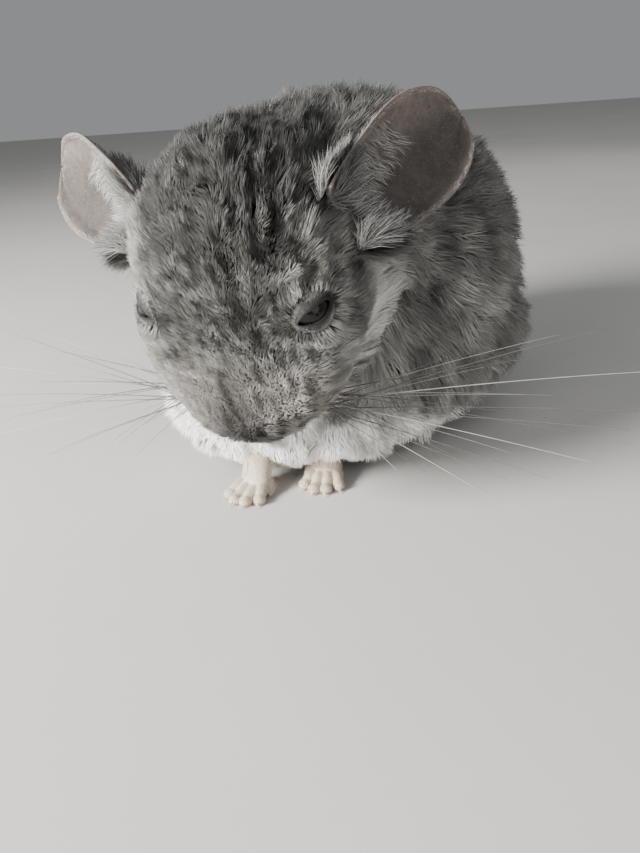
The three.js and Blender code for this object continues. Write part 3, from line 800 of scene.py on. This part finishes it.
def make_coat():
    """The coat over the whole skin, in clumps, cut into wedges round the animal."""
    rng = np.random.default_rng(7)
    middle = skin_points[skin_tris].mean(1)
    density = by_area((BODY_DENSITY, HEAD_DENSITY, FACE_DENSITY), head_share(middle), face_share(middle))
    density = mix(density, WRIST_DENSITY, wrist_share(middle))
    density[skin_points[skin_tris][:, :, 2].max(1) < SKIN_FLOOR + 0.3] = 0
    roots, normals, which, weights = sown(skin_points, skin_tris, skin_normals, density, rng)
    fallback = coat_depth(skin_points + skin_normals * 4)
    reach = blended(rays_out(skin_points, skin_normals, fallback), skin_tris, which, weights)
    grown = ~bare_at(roots)
    roots, normals, reach = roots[grown], normals[grown], reach[grown]

    count = len(roots)
    share, face = head_share(roots), face_share(roots)
    lie, _ = round_eyes(roots, normals, lie_of(roots, normals))
    by_ear, ear_way, ear_front = ear_base_share(roots)
    lie = unit(mix(lie, unit(flat_part(ear_way, normals)), (0.8 * by_ear)[:, None]))
    lean = mix(by_area(LEAN, share, face), 1.0, by_ear)
    relief, slope = relief_of(roots, normals, share)
    hem = 1 - smoothstep(6, 20, (roots - SHIFT)[:, 2])

    # Clumps: each root belongs to the nearest of a sparser set, leans with it, and pales towards its edge
    centres = np.flatnonzero(rng.random(count) < by_area(CLUMP_SHARE, share, face))
    group = nearest_of(roots[centres], roots)
    swing = rng.normal(0, 0.24, (len(centres), 3))
    clump_tone = rng.normal(0, 0.06, len(centres))
    clump_length = rng.uniform(0.88, 1.05, len(centres))
    pull = rng.uniform(0.06, 0.36, len(centres))
    from_centre = roots - roots[centres][group]
    edge = np.linalg.norm(from_centre, axis=1) / by_area(CLUMP_SIZE, share, face)
    lie = lie + swing[group] * mix(1.0, 0.4, face)[:, None] + rng.normal(0, 0.16, (count, 3))
    lie = unit(flat_part(lie, normals))
    length = reach * clump_length[group] * rng.uniform(0.86, 1.06, count)
    length *= 1 - 0.07 * np.clip(edge, 0, 1.5)
    length *= 1 + by_ear * mix(0.25, 1.0, ear_front)
    length *= 1 + hem * rng.uniform(-0.30, 0.10, count)
    height = by_area(RELIEF_HEIGHT, share, face)
    length += relief * height * 0.8

    out = mix(0.99, 0.88, face)
    curl = flat_part(np.stack([waves(roots, 8, k) for k in (31, 32, 33)], axis=1), normals)
    curl *= (length * mix(0.13, 0.10, face))[:, None]
    rise, along = normals * (length * out)[:, None], lie * (length * lean)[:, None]
    mids = roots + rise * 0.64 + along * 0.40 - curl * 0.35
    tips = roots + rise + along + curl
    gather = (pull[group] * by_area(CLUMP_GATHER, share, face))[:, None]
    tips = mix(tips, tips[centres][group] + from_centre * 0.3, gather)
    mids = mix(mids, mids[centres][group] + from_centre * 0.7, gather * 0.5)
    tips[:, 2] = np.maximum(tips[:, 2], 0.5)
    mids[:, 2] = np.maximum(mids[:, 2], 0.9)
    shading = unit(normals - slope * (1.25 * height)[:, None])
    # The relief term is painted light on the swells and painted shade in the furrows
    tone = clump_tone[group] + 0.08 * (edge - 0.5) + mix(0.18, 0.12, share) * relief
    tone = tone + rng.normal(0, 0.09, count) + 0.35 * by_ear * ear_front
    clear = ~in_eye_opening(tips)
    rows = (roots, shading, mids, tips, share, face, tone)
    roots, shading, mids, tips, share, face, tone = (row[clear] for row in rows)
    widths = by_area(TUFT_WIDTH, share, face) * rng.uniform(0.8, 1.15, len(roots))

    around = np.arctan2(roots[:, 0], -roots[:, 1]) + 7 * (share > 0.5)
    parts = np.array_split(np.argsort(around, kind="stable"), math.ceil(len(roots) / PIECE_TUFTS))
    uv = np.zeros((len(roots), 2))
    for part in parts:
        uv[part] = unwrapped(roots[part], mix(roots[part].mean(0), SHIFT + [0, 0, 55], 0.8))
    tufts = [roots, shading, mids, tips, widths, *base_colours(roots, tone), uv]
    tuft_pieces("coat", parts, tufts, "grey_coat")


make_coat()


# Eyes and lids


def make_eye(side):
    """The eyeball, with a slight bulge where it looks out."""
    out, along, across = eye_axes(side)
    rings, sectors = 32, 48
    polar = np.linspace(0, math.pi, rings)
    bulge = np.repeat(0.25 * np.exp(-((polar / 0.55) ** 2)), sectors)[:, None]
    ways = round_ways(polar, sectors) @ np.array([along, across, out])
    points = EYES[side] + ways * (EYE_RADIUS - 0.05 + bulge)
    eye = new_object(f"eye_{side}_ball", points, grid_tris(rings, sectors, True))
    finish_piece(eye, EYE, "eye", f"eye_{side}")


# From the opening to the rim of the lids: how far along, and how high over the ball
LID_RINGS = [
    (0.0, -0.35), (0.03, 0.25), (0.10, 0.62), (0.22, 0.72),
    (0.4, 0.6), (0.62, 0.35), (0.82, -0.1), (1.0, -1.2),
]


def round_lids(turn, share, half_open, limit):
    """Places round an eye: share runs from the opening, 0, to the rim, 1, and limit is their reach."""
    inner = np.stack([LID_CORNER * np.cos(turn), half_open * np.sin(turn)], axis=1)
    rim = np.stack([LID_RIM[0] * np.cos(turn), LID_RIM[1] * np.sin(turn)], axis=1)
    flat = mix(inner, rim, share[:, None])
    far = np.linalg.norm(flat, axis=1)
    near = np.minimum(far, limit)
    return flat * (near / np.maximum(far, 1e-9))[:, None], near


def make_lids(side):
    """A ring of lid skin over the ball, with a half-closed almond opening and a rounded dark margin; its
    darkness is partly dark lid skin and partly painted shade of the socket.
    """
    out, along, across = eye_axes(side)
    sectors = 72
    share, lift = np.repeat(np.array(LID_RINGS), sectors, axis=0).T
    turn = np.tile(circle(sectors), len(LID_RINGS))
    half_open = np.where(np.sin(turn) > 0, 1.9, 1.6) * (1 - 0.25 * np.cos(turn) ** 2)
    radius = EYE_RADIUS + 0.12 + lift
    flat, far = round_lids(turn, share, half_open, radius * 0.985)
    height = np.sqrt(radius**2 - far**2)[:, None]
    points = EYES[side] + out * height + along * flat[:, :1] + across * flat[:, 1:]
    lids = new_object(f"lids_{side}", points, grid_tris(len(LID_RINGS), sectors, True))
    # Dark lid skin with painted shade of the socket, darkest at the opening
    paint(lids, mix(LID_MARGIN_AND_SHADE, SLATE * 1.8, np.minimum(1, share * 3.2)[:, None]))
    finish_piece(lids, EAR, "grey_coat")


def make_lid_tufts(side):
    """Short pale fur that lies away from the opening, over the lids."""
    out, along, across = eye_axes(side)
    rng = np.random.default_rng(31 + SIDES[side])
    count = 3600
    turn = rng.uniform(0, 2 * math.pi, count)
    share = rng.uniform(0.02, 1.1, count) ** 1.5
    flat, far = round_lids(turn, share, 1.75, EYE_RADIUS * 0.97)
    height = np.sqrt((EYE_RADIUS + 0.45) ** 2 - far**2)
    normals = unit(out * height[:, None] + along * flat[:, :1] + across * flat[:, 1:])
    roots = EYES[side] + normals * (EYE_RADIUS + 0.4 - 0.5 * share[:, None])
    back = unit(HEAD_TURNED @ np.array([0.3 * SIDES[side], 1.0, -0.1]))
    away = unit(flat)
    lie = (along * away[:, :1] + across * away[:, 1:]) * 0.7 + back * 0.8
    lie = unit(flat_part(lie + rng.normal(0, 0.12, lie.shape), normals))
    length = mix(0.9, 2.9, share) * rng.uniform(0.8, 1.15, count)
    mids, tips = leaned(roots, normals, lie, length, (0.25, 0.5), (0.42, 1.05))
    pale = 0.38 + 0.25 * waves(roots, 5, 9) + rng.normal(0, 0.1, count)
    # Painted shade of the socket: the lid fur darkens towards the opening
    pale = np.clip(pale * smoothstep(0.02, 0.45, share), 0, 1)[:, None]
    shades = ((1, 0.5), (1.5, 0.9), (1.2, 1.05))
    colours = [mix(SLATE * dark, SILVER * light, pale) for dark, light in shades]
    tuft_piece(f"lid_fur_{side}", roots, normals, mids, tips, 0.14, colours, 0.5 + flat * 0.055, "grey_coat")


for side in SIDES:
    make_eye(side)
    make_lids(side)
    make_lid_tufts(side)


# Nose


def make_nose():
    """The bare nose pad, with a groove down its middle and two slanting nostrils."""
    rings, sectors = 30, 44
    x, z, y = round_ways(np.linspace(0.02, math.pi - 0.02, rings), sectors).T
    x = x * 4.6 * (1 - 0.25 * np.maximum(0, -z))
    z = z * 3.3
    groove = np.exp(-((x / 0.55) ** 2)) * smoothstep(0.6, -2.0, z) * 0.7
    aside = (np.abs(x) - 2.5 - 0.35 * (z + 0.4)) / 0.75
    pit = np.exp(-(aside**2 + ((z + 0.5) / 1.5) ** 2)) * (y > 0)
    points = np.stack([x, 1.5 * pit + groove - y * 3.2, z], axis=1)
    nose = new_object("nose", from_head(points * 0.95 + [0, -45.4, -6.2]), grid_tris(rings, sectors, True))
    # The nostril pits and the groove are painted dark: painted shade in the openings and down the groove
    paint(nose, mix(NOSE_PINK, NOSTRIL_SHADE, np.minimum(1, 1.3 * pit + 0.35 * groove)[:, None]))
    finish_piece(nose, PAW, "paw_skin")


make_nose()


# Ears


def ear_width(t):
    """Half the ear's width from its root, 0, to its tip, 1: widest past its middle and round at its tip."""
    widest, base = 0.54, 0.62
    half = EAR_WIDTH / 2
    rising = half * (base + (1 - base) * np.sin(np.pi / 2 * np.minimum(t / widest, 1)) ** 1.2)
    falling = half * np.sqrt(np.maximum(0.012, 1 - np.maximum((t - widest) / (1 - widest), 0) ** 2.3))
    return np.where(t < widest, rising, falling)


def ear_sheet(side, t, v, face):
    """Points of the ear, t from root to tip, v across from -1 to 1, face 1 on its back and -1 in its cup."""
    root, a, n, b = ear_frame(side)
    t, v = np.asarray(t, float), np.asarray(v, float)
    wrap = np.radians(mix(140, 62, np.minimum(1, t * 1.5) ** 0.8))
    radius = 2 * ear_width(t) / wrap
    angle = v * wrap / 2
    edge = np.abs(v) ** 6
    thick = mix(3.0, 1.0, np.minimum(1, t * 1.6)) * (1 - 0.25 * v * v) * (1 - 0.6 * edge)
    thick = thick * (1 - 0.6 * smoothstep(0.93, 1.0, t))
    ripple = 0.35 * np.sin(9 * v + 3 * t) * smoothstep(0.25, 0.6, t) * (1 - edge)
    fold = 1.1 * np.exp(-(((v + 0.45 - 0.3 * t) / 0.14) ** 2))
    fold = fold * smoothstep(0.1, 0.3, t) * (1 - smoothstep(0.5, 0.8, t))
    curl = 1.3 * edge * smoothstep(0.1, 0.5, t) * (1 - smoothstep(0.85, 1.0, t))
    reach = radius + face * thick / 2 + ripple - fold * (face < 0) - curl
    x = reach * np.sin(angle) + 2.5 * t * t
    y = radius * np.cos(wrap / 4) - reach * np.cos(angle)
    z = (EAR_LENGTH + EAR_SINK) * t - EAR_SINK
    return root + x[..., None] * b + y[..., None] * n + z[..., None] * a


def ear_colour(t, v, face, points):
    """Warm dark grey in the cup, paler and pinker along the rim and over the veins."""
    cup = (face < 0)[:, None]
    base = np.where(cup, EAR_CUP, EAR_BACK)
    margin = smoothstep(0.80, 0.99, np.maximum(np.abs(v), smoothstep(0.80, 1.02, t)))[:, None]
    base = base * np.where(cup, mix(2.0, 1.0, smoothstep(-0.75, 0.1, v))[:, None], 1)
    veins = np.exp(-((waves(points, 9, 12) / 0.22) ** 2))[:, None] * 0.22
    blotch = (0.12 * waves(points, 16, 13))[:, None]
    return np.clip(mix(base, EAR_RIM, 0.75 * margin) * (1 + veins + blotch), 0.01, 1)


def make_ear(side):
    """The ear as one closed sheet: each row of points runs over its back and returns through its cup."""
    rows, columns = 46, 28
    size = 2 * columns
    there = np.linspace(-1, 1, columns)
    t = np.repeat(np.linspace(0.08, 1, rows), size)
    v = np.tile(np.concatenate([there, there[::-1]]), rows)
    face = np.tile(np.concatenate([np.ones(columns), -np.ones(columns)]), rows)
    points = ear_sheet(side, t, v, face)
    tris = grid_tris(rows, size, True)
    end = (rows - 1) * size
    for k in range(columns - 1):
        p, q, r, s = k, k + 1, size - 2 - k, size - 1 - k
        tris += [(p, r, q), (p, s, r), (end + p, end + q, end + r), (end + p, end + r, end + s)]
    ear = new_object(f"ear_{side}_cup", points, np.array(tris)[:, :: SIDES[side]])
    paint(ear, ear_colour(t, v, face, points))
    finish_piece(ear, EAR, "ear_skin", f"ear_{side}")


def ear_normals(side, t, v, face):
    """The ways out of the ear's surface, up it and across it."""
    step = 0.01
    du = ear_sheet(side, t + step, v, face) - ear_sheet(side, t - step, v, face)
    dv = ear_sheet(side, t, v + step, face) - ear_sheet(side, t, v - step, face)
    normal = unit(np.cross(du, dv))
    other = ear_sheet(side, t, v, face) - ear_sheet(side, t, v, -face)
    return normal * np.sign((normal * other).sum(1, keepdims=True)), unit(du), unit(dv)


# Hairs on an ear: how many, where from root to tip and across, on its back (1) or in its cup (-1), two
# lengths and where one turns into the other, then width, lean outwards, upwards and aside, and paleness
EAR_DOWN = [
    (2700, (0.12, 0.985), (-0.97, 0.97), 1, (3.4, 1.3, 0.1, 0.7), (0.10, 0.28, 0.9, 0.0, 0.16)),
    (1500, (0.12, 0.98), (-0.97, 0.97), -1, (0.8, 0.8, 0, 1), (0.05, 0.28, 0.9, 0.0, 0.10)),
]
EAR_FOOT = [
    (420, (0.13, 0.23), (-0.95, 0.6), -1, (6, 6, 0, 1), (0.09, 0.5, 0.75, 0.1, 0.28)),
    (1600, (0.08, 0.26), (-0.99, 0.99), 1, (8, 4, 0.1, 0.26), (0.14, 0.30, 0.9, 0.0, 0.10)),
    (900, (0.06, 0.22), (0.45, 1.0), 1, (8, 8, 0, 1), (0.11, 0.55, 0.55, 0.25, 0.30)),
    (300, (0.08, 0.20), (0.3, 1.0), -1, (7, 7, 0, 1), (0.09, 0.8, 0.5, 0.2, 0.14)),
]


def make_ear_fur(side):
    """Down over the ear, pale rows in its cup, a fringe on its rim, and fluff round its foot."""
    rng = np.random.default_rng(41 + SIDES[side])
    sets = []

    def add(t, v, face, length, width, out, up, aside, pale):
        face = np.broadcast_to(np.asarray(face, float), (len(t),))
        roots = ear_sheet(side, t, v, face)
        normals, along, across = ear_normals(side, t, v, face)
        way = unit(along * up + across * aside + normals * out + rng.normal(0, 0.13, roots.shape))
        length = length * rng.uniform(0.75, 1.15, len(roots))
        mids, tips = leaned(roots, normals, way, length, (0.10, 0.5), (0.0, 1.0))
        tone = np.clip(pale + rng.normal(0, 0.1, len(roots)), 0, 1)[:, None]
        tip = mix(SLATE * 1.4, CREAM * 0.95, tone)
        sets.append([roots, normals, mids, tips, np.full(len(roots), width), tip * 0.7, tip * 0.9, tip])

    def add_all(table):
        for count, t_range, v_range, face, (first, second, start, end), style in table:
            t = rng.uniform(*t_range, count)
            v = rng.uniform(*v_range, count)
            add(t, v, face, mix(first, second, smoothstep(start, end, t)), *style)

    add_all(EAR_DOWN)
    # Pale hairs in slanting rows, from the cup's inner side
    n = 230
    t = 0.22 + 0.030 * rng.integers(0, 13, n) + rng.normal(0, 0.004, n)
    v = rng.uniform(-0.9, -0.25, n)
    add(t + 0.05 * v, v, -1, mix(8, 5, smoothstep(0.2, 0.6, t)), 0.055, 0.25, 0.45, 0.8, 0.55)
    # The fringe
    n = 420
    v = rng.choice([-1.0, 1.0], n) * rng.uniform(0.9, 1.0, n)
    add(rng.uniform(0.14, 0.92, n), v, -1, 1.5, 0.06, 0.25, 0.7, 0.0, 0.45)
    add_all(EAR_FOOT)
    # Fluff that hides the hard lower rim on both sides of the mouth
    n = 1100
    for edge in (-1.0, 1.0):
        t = rng.uniform(0.0, 0.27, n)
        aside = edge * rng.normal(0.1, 0.45, (n, 1))
        v = edge * rng.uniform(0.8, 1.0, n)
        length = mix(9, 5, smoothstep(0.05, 0.27, t))
        add(t, v, rng.choice([-1.0, 1.0], n), length, 0.10, 0.45, 0.75, aside, 0.16)
    *shape, low, mid, high = (np.concatenate(rows) for rows in zip(*sets))
    root, a, _, b = ear_frame(side)
    from_root = shape[0] - root
    flat = np.clip(np.stack([from_root @ b / 60 + 0.5, from_root @ a / 75 + 0.2], axis=1), 0.01, 0.98)
    tuft_piece(f"ear_fur_{side}", *shape, [low, mid, high], flat, "grey_coat")


for side in SIDES:
    make_ear(side)
    make_ear_fur(side)


# Whiskers: for each how it rises and sweeps in degrees, and its share of the longest one's length

WHISKER_ROWS = [
    (14, 14, 0.92), (8, 2, 1.0), (3, 22, 0.86), (-2, 10, 1.0), (-7, -8, 0.82), (-12, 16, 0.9),
    (-18, 2, 0.74), (-25, -12, 0.62), (-31, 6, 0.5),
]
FINE_WHISKERS = [
    (17, 4, 0.55), (11, 20, 0.8), (5.5, -6, 0.7), (0, -2, 0.9), (-4.5, 20, 0.72), (-9.5, 4, 0.95),
    (-15, -10, 0.6), (-21, 12, 0.66), (-28, -4, 0.48), (-36, 2, 0.4), (-40, -14, 0.34), (21, 12, 0.42),
]


def make_whiskers(side):
    sign = SIDES[side]
    steps, sides = 22, 5
    tubes, colours = [], []
    for rows, thick in ((WHISKER_ROWS, 0.24), (FINE_WHISKERS, 0.17)):
        for index, (lift, sweep, share) in enumerate(rows):
            down = index / (len(rows) - 1)
            spread = (index * 0.37) % 1
            place = PAD_AT + [3.5, 7 * spread - 3, 3 - 6 * down]
            root = from_head(place * [sign, 1, 1])
            swing, rise = math.radians(sweep + WHISKER_SWING * sign), math.radians(lift)
            way = np.array([sign * math.cos(rise) * math.cos(swing), math.sin(swing), math.sin(rise)])
            length = WHISKER_LENGTH * share
            tip = root + way * length + [0, 0.06 * length, -0.07 * length]
            tip[2] = max(tip[2], 2.5)
            t = np.linspace(0, 1, steps)[:, None]
            line = arc(root, root + way * length * 0.5, tip, t)
            tubes.append(closed_tube(line, mix(thick, 0.04, t[:, 0] ** 0.8), sides, up=(0.1, 0.2, 1)))
            pale = 0.45 if index % 3 == 1 else 0.06
            shade = mix(0.03, pale + 0.1, np.append(np.repeat(t[:, 0], sides), [0, 1]))
            colours.append(np.stack([shade, shade * 0.95, shade * 0.9], axis=1))
    whiskers = new_object(f"whiskers_{side}", *joined(tubes))
    paint(whiskers, np.concatenate(colours))
    finish_piece(whiskers, WHISKER, "grey_coat")


for side in SIDES:
    make_whiskers(side)


# Paws: the solids' own feet, rounded, with short fur over their backs and small separate claws


def small_ball(middle, radius):
    rings, sectors = 8, 12
    points = middle + radius * round_ways(np.linspace(0, math.pi, rings), sectors)
    return points, np.array(grid_tris(rings, sectors, True))[:, ::-1]


def toe_ends(name):
    """For each toe of a foot: where it ends, its heading and its radius, as the solids' source has them."""
    part, side = name.split("_")
    ends = []
    if part == "forepaw":
        heading = math.radians(PAW_HEADINGS[side])
        ahead = np.array([math.sin(heading), -math.cos(heading), 0])
        across = np.array([-ahead[1], ahead[0], 0])
        for spread, reach in zip([-4.7, -1.6, 1.6, 4.7], [11.5, 14, 13.6, 11]):
            start = 4.5 * ahead + spread * 0.8 * across
            end = reach * ahead + spread * 1.28 * across
            ends.append((np.array([*WRISTS_AT[side], 0.8]) + end, unit(end - start), 1.75))
        return ends
    for across, reach in zip([-4.6, 0, 4.4], [12, 14, 11.5]):
        y = HEEL_Y - SOLE_LENGTH + 17 - reach
        x = HEEL_X + across * 1.35 + (HEEL_Y - y) / SOLE_LENGTH * 4
        ends.append((np.array([SIDES[side] * x, y, 1.2]), unit([0.07 * SIDES[side], -1, 0]), 2.7))
    return ends


def make_claws(name):
    tubes = []
    rise = np.array([0, 0, 1.0])
    t = np.linspace(0, 1, 8)[:, None]
    for end, ahead, radius in toe_ends(name):
        length = radius * 1.25
        first = end + rise * radius * 0.35 + ahead * radius * 0.2
        middle = end + ahead * (radius + length * 0.35) + rise * radius * 0.45
        last = end + ahead * (radius * 0.7 + length) - rise * radius * 0.25
        line = arc(first, middle, last, t) + SHIFT
        line[:, 2] = np.maximum(line[:, 2], 0.35)
        tubes.append(closed_tube(line, radius * mix(0.34, 0.07, t[:, 0]), 8))
    claws = new_object(f"{name}_claws", *joined(tubes))
    finish_piece(claws, CLAW, "paw_skin")


def make_foot(name, heel_way, density):
    """The solid's foot with rounded toe ends, and short fur on its upper side."""
    parts = [node_mesh(name)]
    for end, _, radius in toe_ends(name):
        parts.append(small_ball(end + SHIFT + [0, 0, radius * 0.35], radius * 1.08))
    points, tris, normals = largest_piece(*fused(parts, 0.42, 12))
    points = points + normals * 0.3
    points[:, 2] = np.maximum(points[:, 2] - 0.1, 0.0)
    foot = new_object(f"{name}_skin", points, tris)
    ahead = (points - points.mean(0)) @ -heel_way
    toes = smoothstep(0.55, 0.95, ahead / np.abs(ahead).max())
    top = smoothstep(-0.2, 0.6, normals[:, 2])
    crease = smoothstep(0.4, 1.4, waves(points, 3.2, 16))
    colour = mix(PAW_PINK, PAW_FUR * 0.8, (top * (1 - 0.5 * toes))[:, None])
    paint(foot, mix(colour, PAW_PINK * 0.62, (0.35 * crease)[:, None]))
    finish_piece(foot, PAW, "paw_skin", name)

    rng = np.random.default_rng(len(name))
    a, b, c = (points[tris[:, k]] for k in range(3))
    back_share = smoothstep(-0.1, 0.4, unit(np.cross(b - a, c - a))[:, 2])
    roots, out, _, _ = sown(points, tris, normals, density * back_share, rng)
    lie = np.tile(-heel_way, (len(roots), 1)) + [0, 0, -0.35] + rng.normal(0, 0.16, (len(roots), 3))
    lie = unit(flat_part(lie, out))
    ahead = (roots - points.mean(0)) @ -heel_way
    length = mix(4.2, 1.1, smoothstep(-7, 4, ahead)) * rng.uniform(0.75, 1.15, len(roots))
    mids, tips = leaned(roots, out, lie, length, (0.26, 0.5), (0.34, 1.0))
    tips[:, 2] = np.maximum(tips[:, 2], 0.15)
    mids[:, 2] = np.maximum(mids[:, 2], 0.25)
    tone = rng.uniform(0.85, 1.08, (len(roots), 1))
    colours = [PAW_FUR * light * tone for light in (0.8, 1.0, 1.1)]
    low, high = roots.min(0), roots.max(0)
    uv = 0.01 + 0.97 * ((roots - low) / (high - low))[:, :2]
    tuft_piece(f"{name}_fur", roots, out, mids, tips, 0.11, colours, uv, "white_coat", softness=0.5)


for side in SIDES:
    heading = math.radians(PAW_HEADINGS[side])
    make_foot(f"forepaw_{side}", np.array([-math.sin(heading), math.cos(heading), 0.0]), FOREPAW_DENSITY)
    make_foot(f"hindfoot_{side}", unit([-0.07 * SIDES[side], 1.0, 0.0]), HINDFOOT_DENSITY)
    make_claws(f"forepaw_{side}")
    make_claws(f"hindfoot_{side}")


# Tail


def make_tail():
    """A thin closed core, and long coarse tufts that lean back along it and droop to the floor."""
    steps = 60
    line = curve_points(TAIL_LINE, steps) + SHIFT
    t = np.linspace(0, 1, steps)
    core = mix(5.4, 3.4, t) * np.sqrt(np.clip(1.02 - smoothstep(0.94, 1.02, t), 0.05, 1))
    points, tris, normals = fused([closed_tube(line, core, 18)], 1.2, 3)
    tail = new_object("tail_skin", points, tris)
    paint(tail, np.tile(SLATE, (len(points), 1)))
    finish_piece(tail, SKIN, "tail_coat", "tail_root", "tail_middle", "tail_tip")

    rng = np.random.default_rng(61)
    roots, normals, _, _ = sown(points, tris, normals, TAIL_DENSITY, rng)
    place = nearest_of(line, roots) / (steps - 1)
    count = len(roots)
    picked = np.flatnonzero(rng.random(count) < 0.05)
    group = nearest_of(roots[picked], roots)
    swing = rng.normal(0, 0.16, (len(picked), 3))[group]
    length = mix(17, 29, smoothstep(0.1, 0.9, place)) * rng.uniform(0.55, 1.05, count)
    length *= np.where(normals[:, 2] > -0.2, 1, 0.8)
    stand = mix(0.50, 0.36, place) * np.where(normals[:, 2] > 0.3, 1.15, 0.95)
    along = unit(np.gradient(line, axis=0))[(place * (steps - 1)).astype(int)]
    way = unit(along + normals * stand[:, None] + swing + rng.normal(0, 0.08, (count, 3)))
    mids, tips = leaned(roots, normals, way, length, (0.10, 0.5), (0.0, 1.0))
    tips[:, 2] = np.maximum(tips[:, 2], 0.5)
    mids[:, 2] = np.maximum(mids[:, 2], 0.8)
    dark = 0.75 + 0.25 * normals[:, 2] + 0.2 * waves(roots, 9, 17) + rng.normal(0, 0.12, count)
    dark = np.clip(dark, 0, 1)[:, None]
    shades = ((SILVER * 0.5, SLATE), (SILVER * 0.8, SLATE * 1.3), (SILVER * 0.9, TIP_DARK))
    colours = [mix(light, deep, dark) for light, deep in shades]
    turn = np.arctan2(normals[:, 2], normals[:, 0]) / (2.1 * math.pi)
    uv = np.stack([0.02 + 0.95 * place, 0.5 + turn], axis=1)
    order = np.argsort(place)
    widths = np.empty(count)
    widths[order] = rng.uniform(0.2, 0.32, count)
    parts = np.array_split(order, math.ceil(count / PIECE_TUFTS))
    tufts = [roots, normals, mids, tips, widths, *colours, uv]
    tuft_pieces("tail_fur", parts, tufts, "tail_coat", softness=0.35)


make_tail()


# Camera, lights and floor

# Found from the level lines in the photo, which give the tilt and the roll, and from the line of the floor
CAMERA_AT = np.array([84.1, -257.9, 126.0]) + SHIFT
CAMERA_AXES = np.array([[0.9438, 0.3212, -0.0755], [-0.0827, 0.4518, 0.8880], [0.3195, -0.8322, 0.4532]])
FOCAL_SHARE = 660 / 853
FLOOR_REACH = 3000


def make_camera():
    data = bpy.data.cameras.new("camera")
    camera = bpy.data.objects.new("camera", data)
    bpy.context.scene.collection.objects.link(camera)
    turn = Matrix(CAMERA_AXES.T.tolist()).to_4x4()
    camera.matrix_world = Matrix.Translation(Vector(CAMERA_AT * MM)) @ turn
    data.sensor_fit = "VERTICAL"
    data.sensor_height = 36
    data.lens = FOCAL_SHARE * data.sensor_height
    data.clip_start = 0.005
    data.clip_end = 20
    bpy.context.scene.camera = camera


# Lights: place in metres, size, power and colour. All of them point at the middle of the animal
LIGHT_TARGET = (0, -0.06, 0.05)
LIGHTS = {
    "key": ((-0.58, -0.66, 0.46), 0.36, 32.0, (1.0, 0.985, 0.95)),
    "fill": ((0.8, -0.6, 0.4), 0.8, 2.0, (0.97, 0.98, 1.0)),
    "low": ((-0.35, -0.95, 0.14), 0.5, 9.0, (1.0, 0.99, 0.97)),
    "rim": ((0.2, 0.8, 0.6), 0.6, 1.2, (1.0, 1.0, 1.0)),
}
SKY_COLOUR = (0.86, 0.88, 0.9, 1)
SKY_STRENGTH = 0.32


def make_stage():
    """The pale floor, an even sky and soft round lights."""
    corners = np.array([[-1, -1, 0], [1, -1, 0], [1, 1, 0], [-1, 1, 0]]) * FLOOR_REACH
    floor = new_object("floor", corners, [[0, 1, 2, 3]])
    floor.data.materials.append(FLOOR)
    world = bpy.data.worlds.new("world")
    world.use_nodes = True
    sky = world.node_tree.nodes["Background"].inputs
    sky["Color"].default_value = SKY_COLOUR
    sky["Strength"].default_value = SKY_STRENGTH
    bpy.context.scene.world = world
    for name, (place, size, power, colour) in LIGHTS.items():
        data = bpy.data.lights.new(name, "AREA")
        data.shape = "DISK"
        data.size, data.energy, data.color = size, power, colour
        lamp = bpy.data.objects.new(name, data)
        bpy.context.scene.collection.objects.link(lamp)
        aim = (Vector(place) - Vector(LIGHT_TARGET)).to_track_quat("Z", "Y").to_matrix().to_4x4()
        lamp.matrix_world = Matrix.Translation(Vector(place)) @ aim


make_camera()
make_stage()
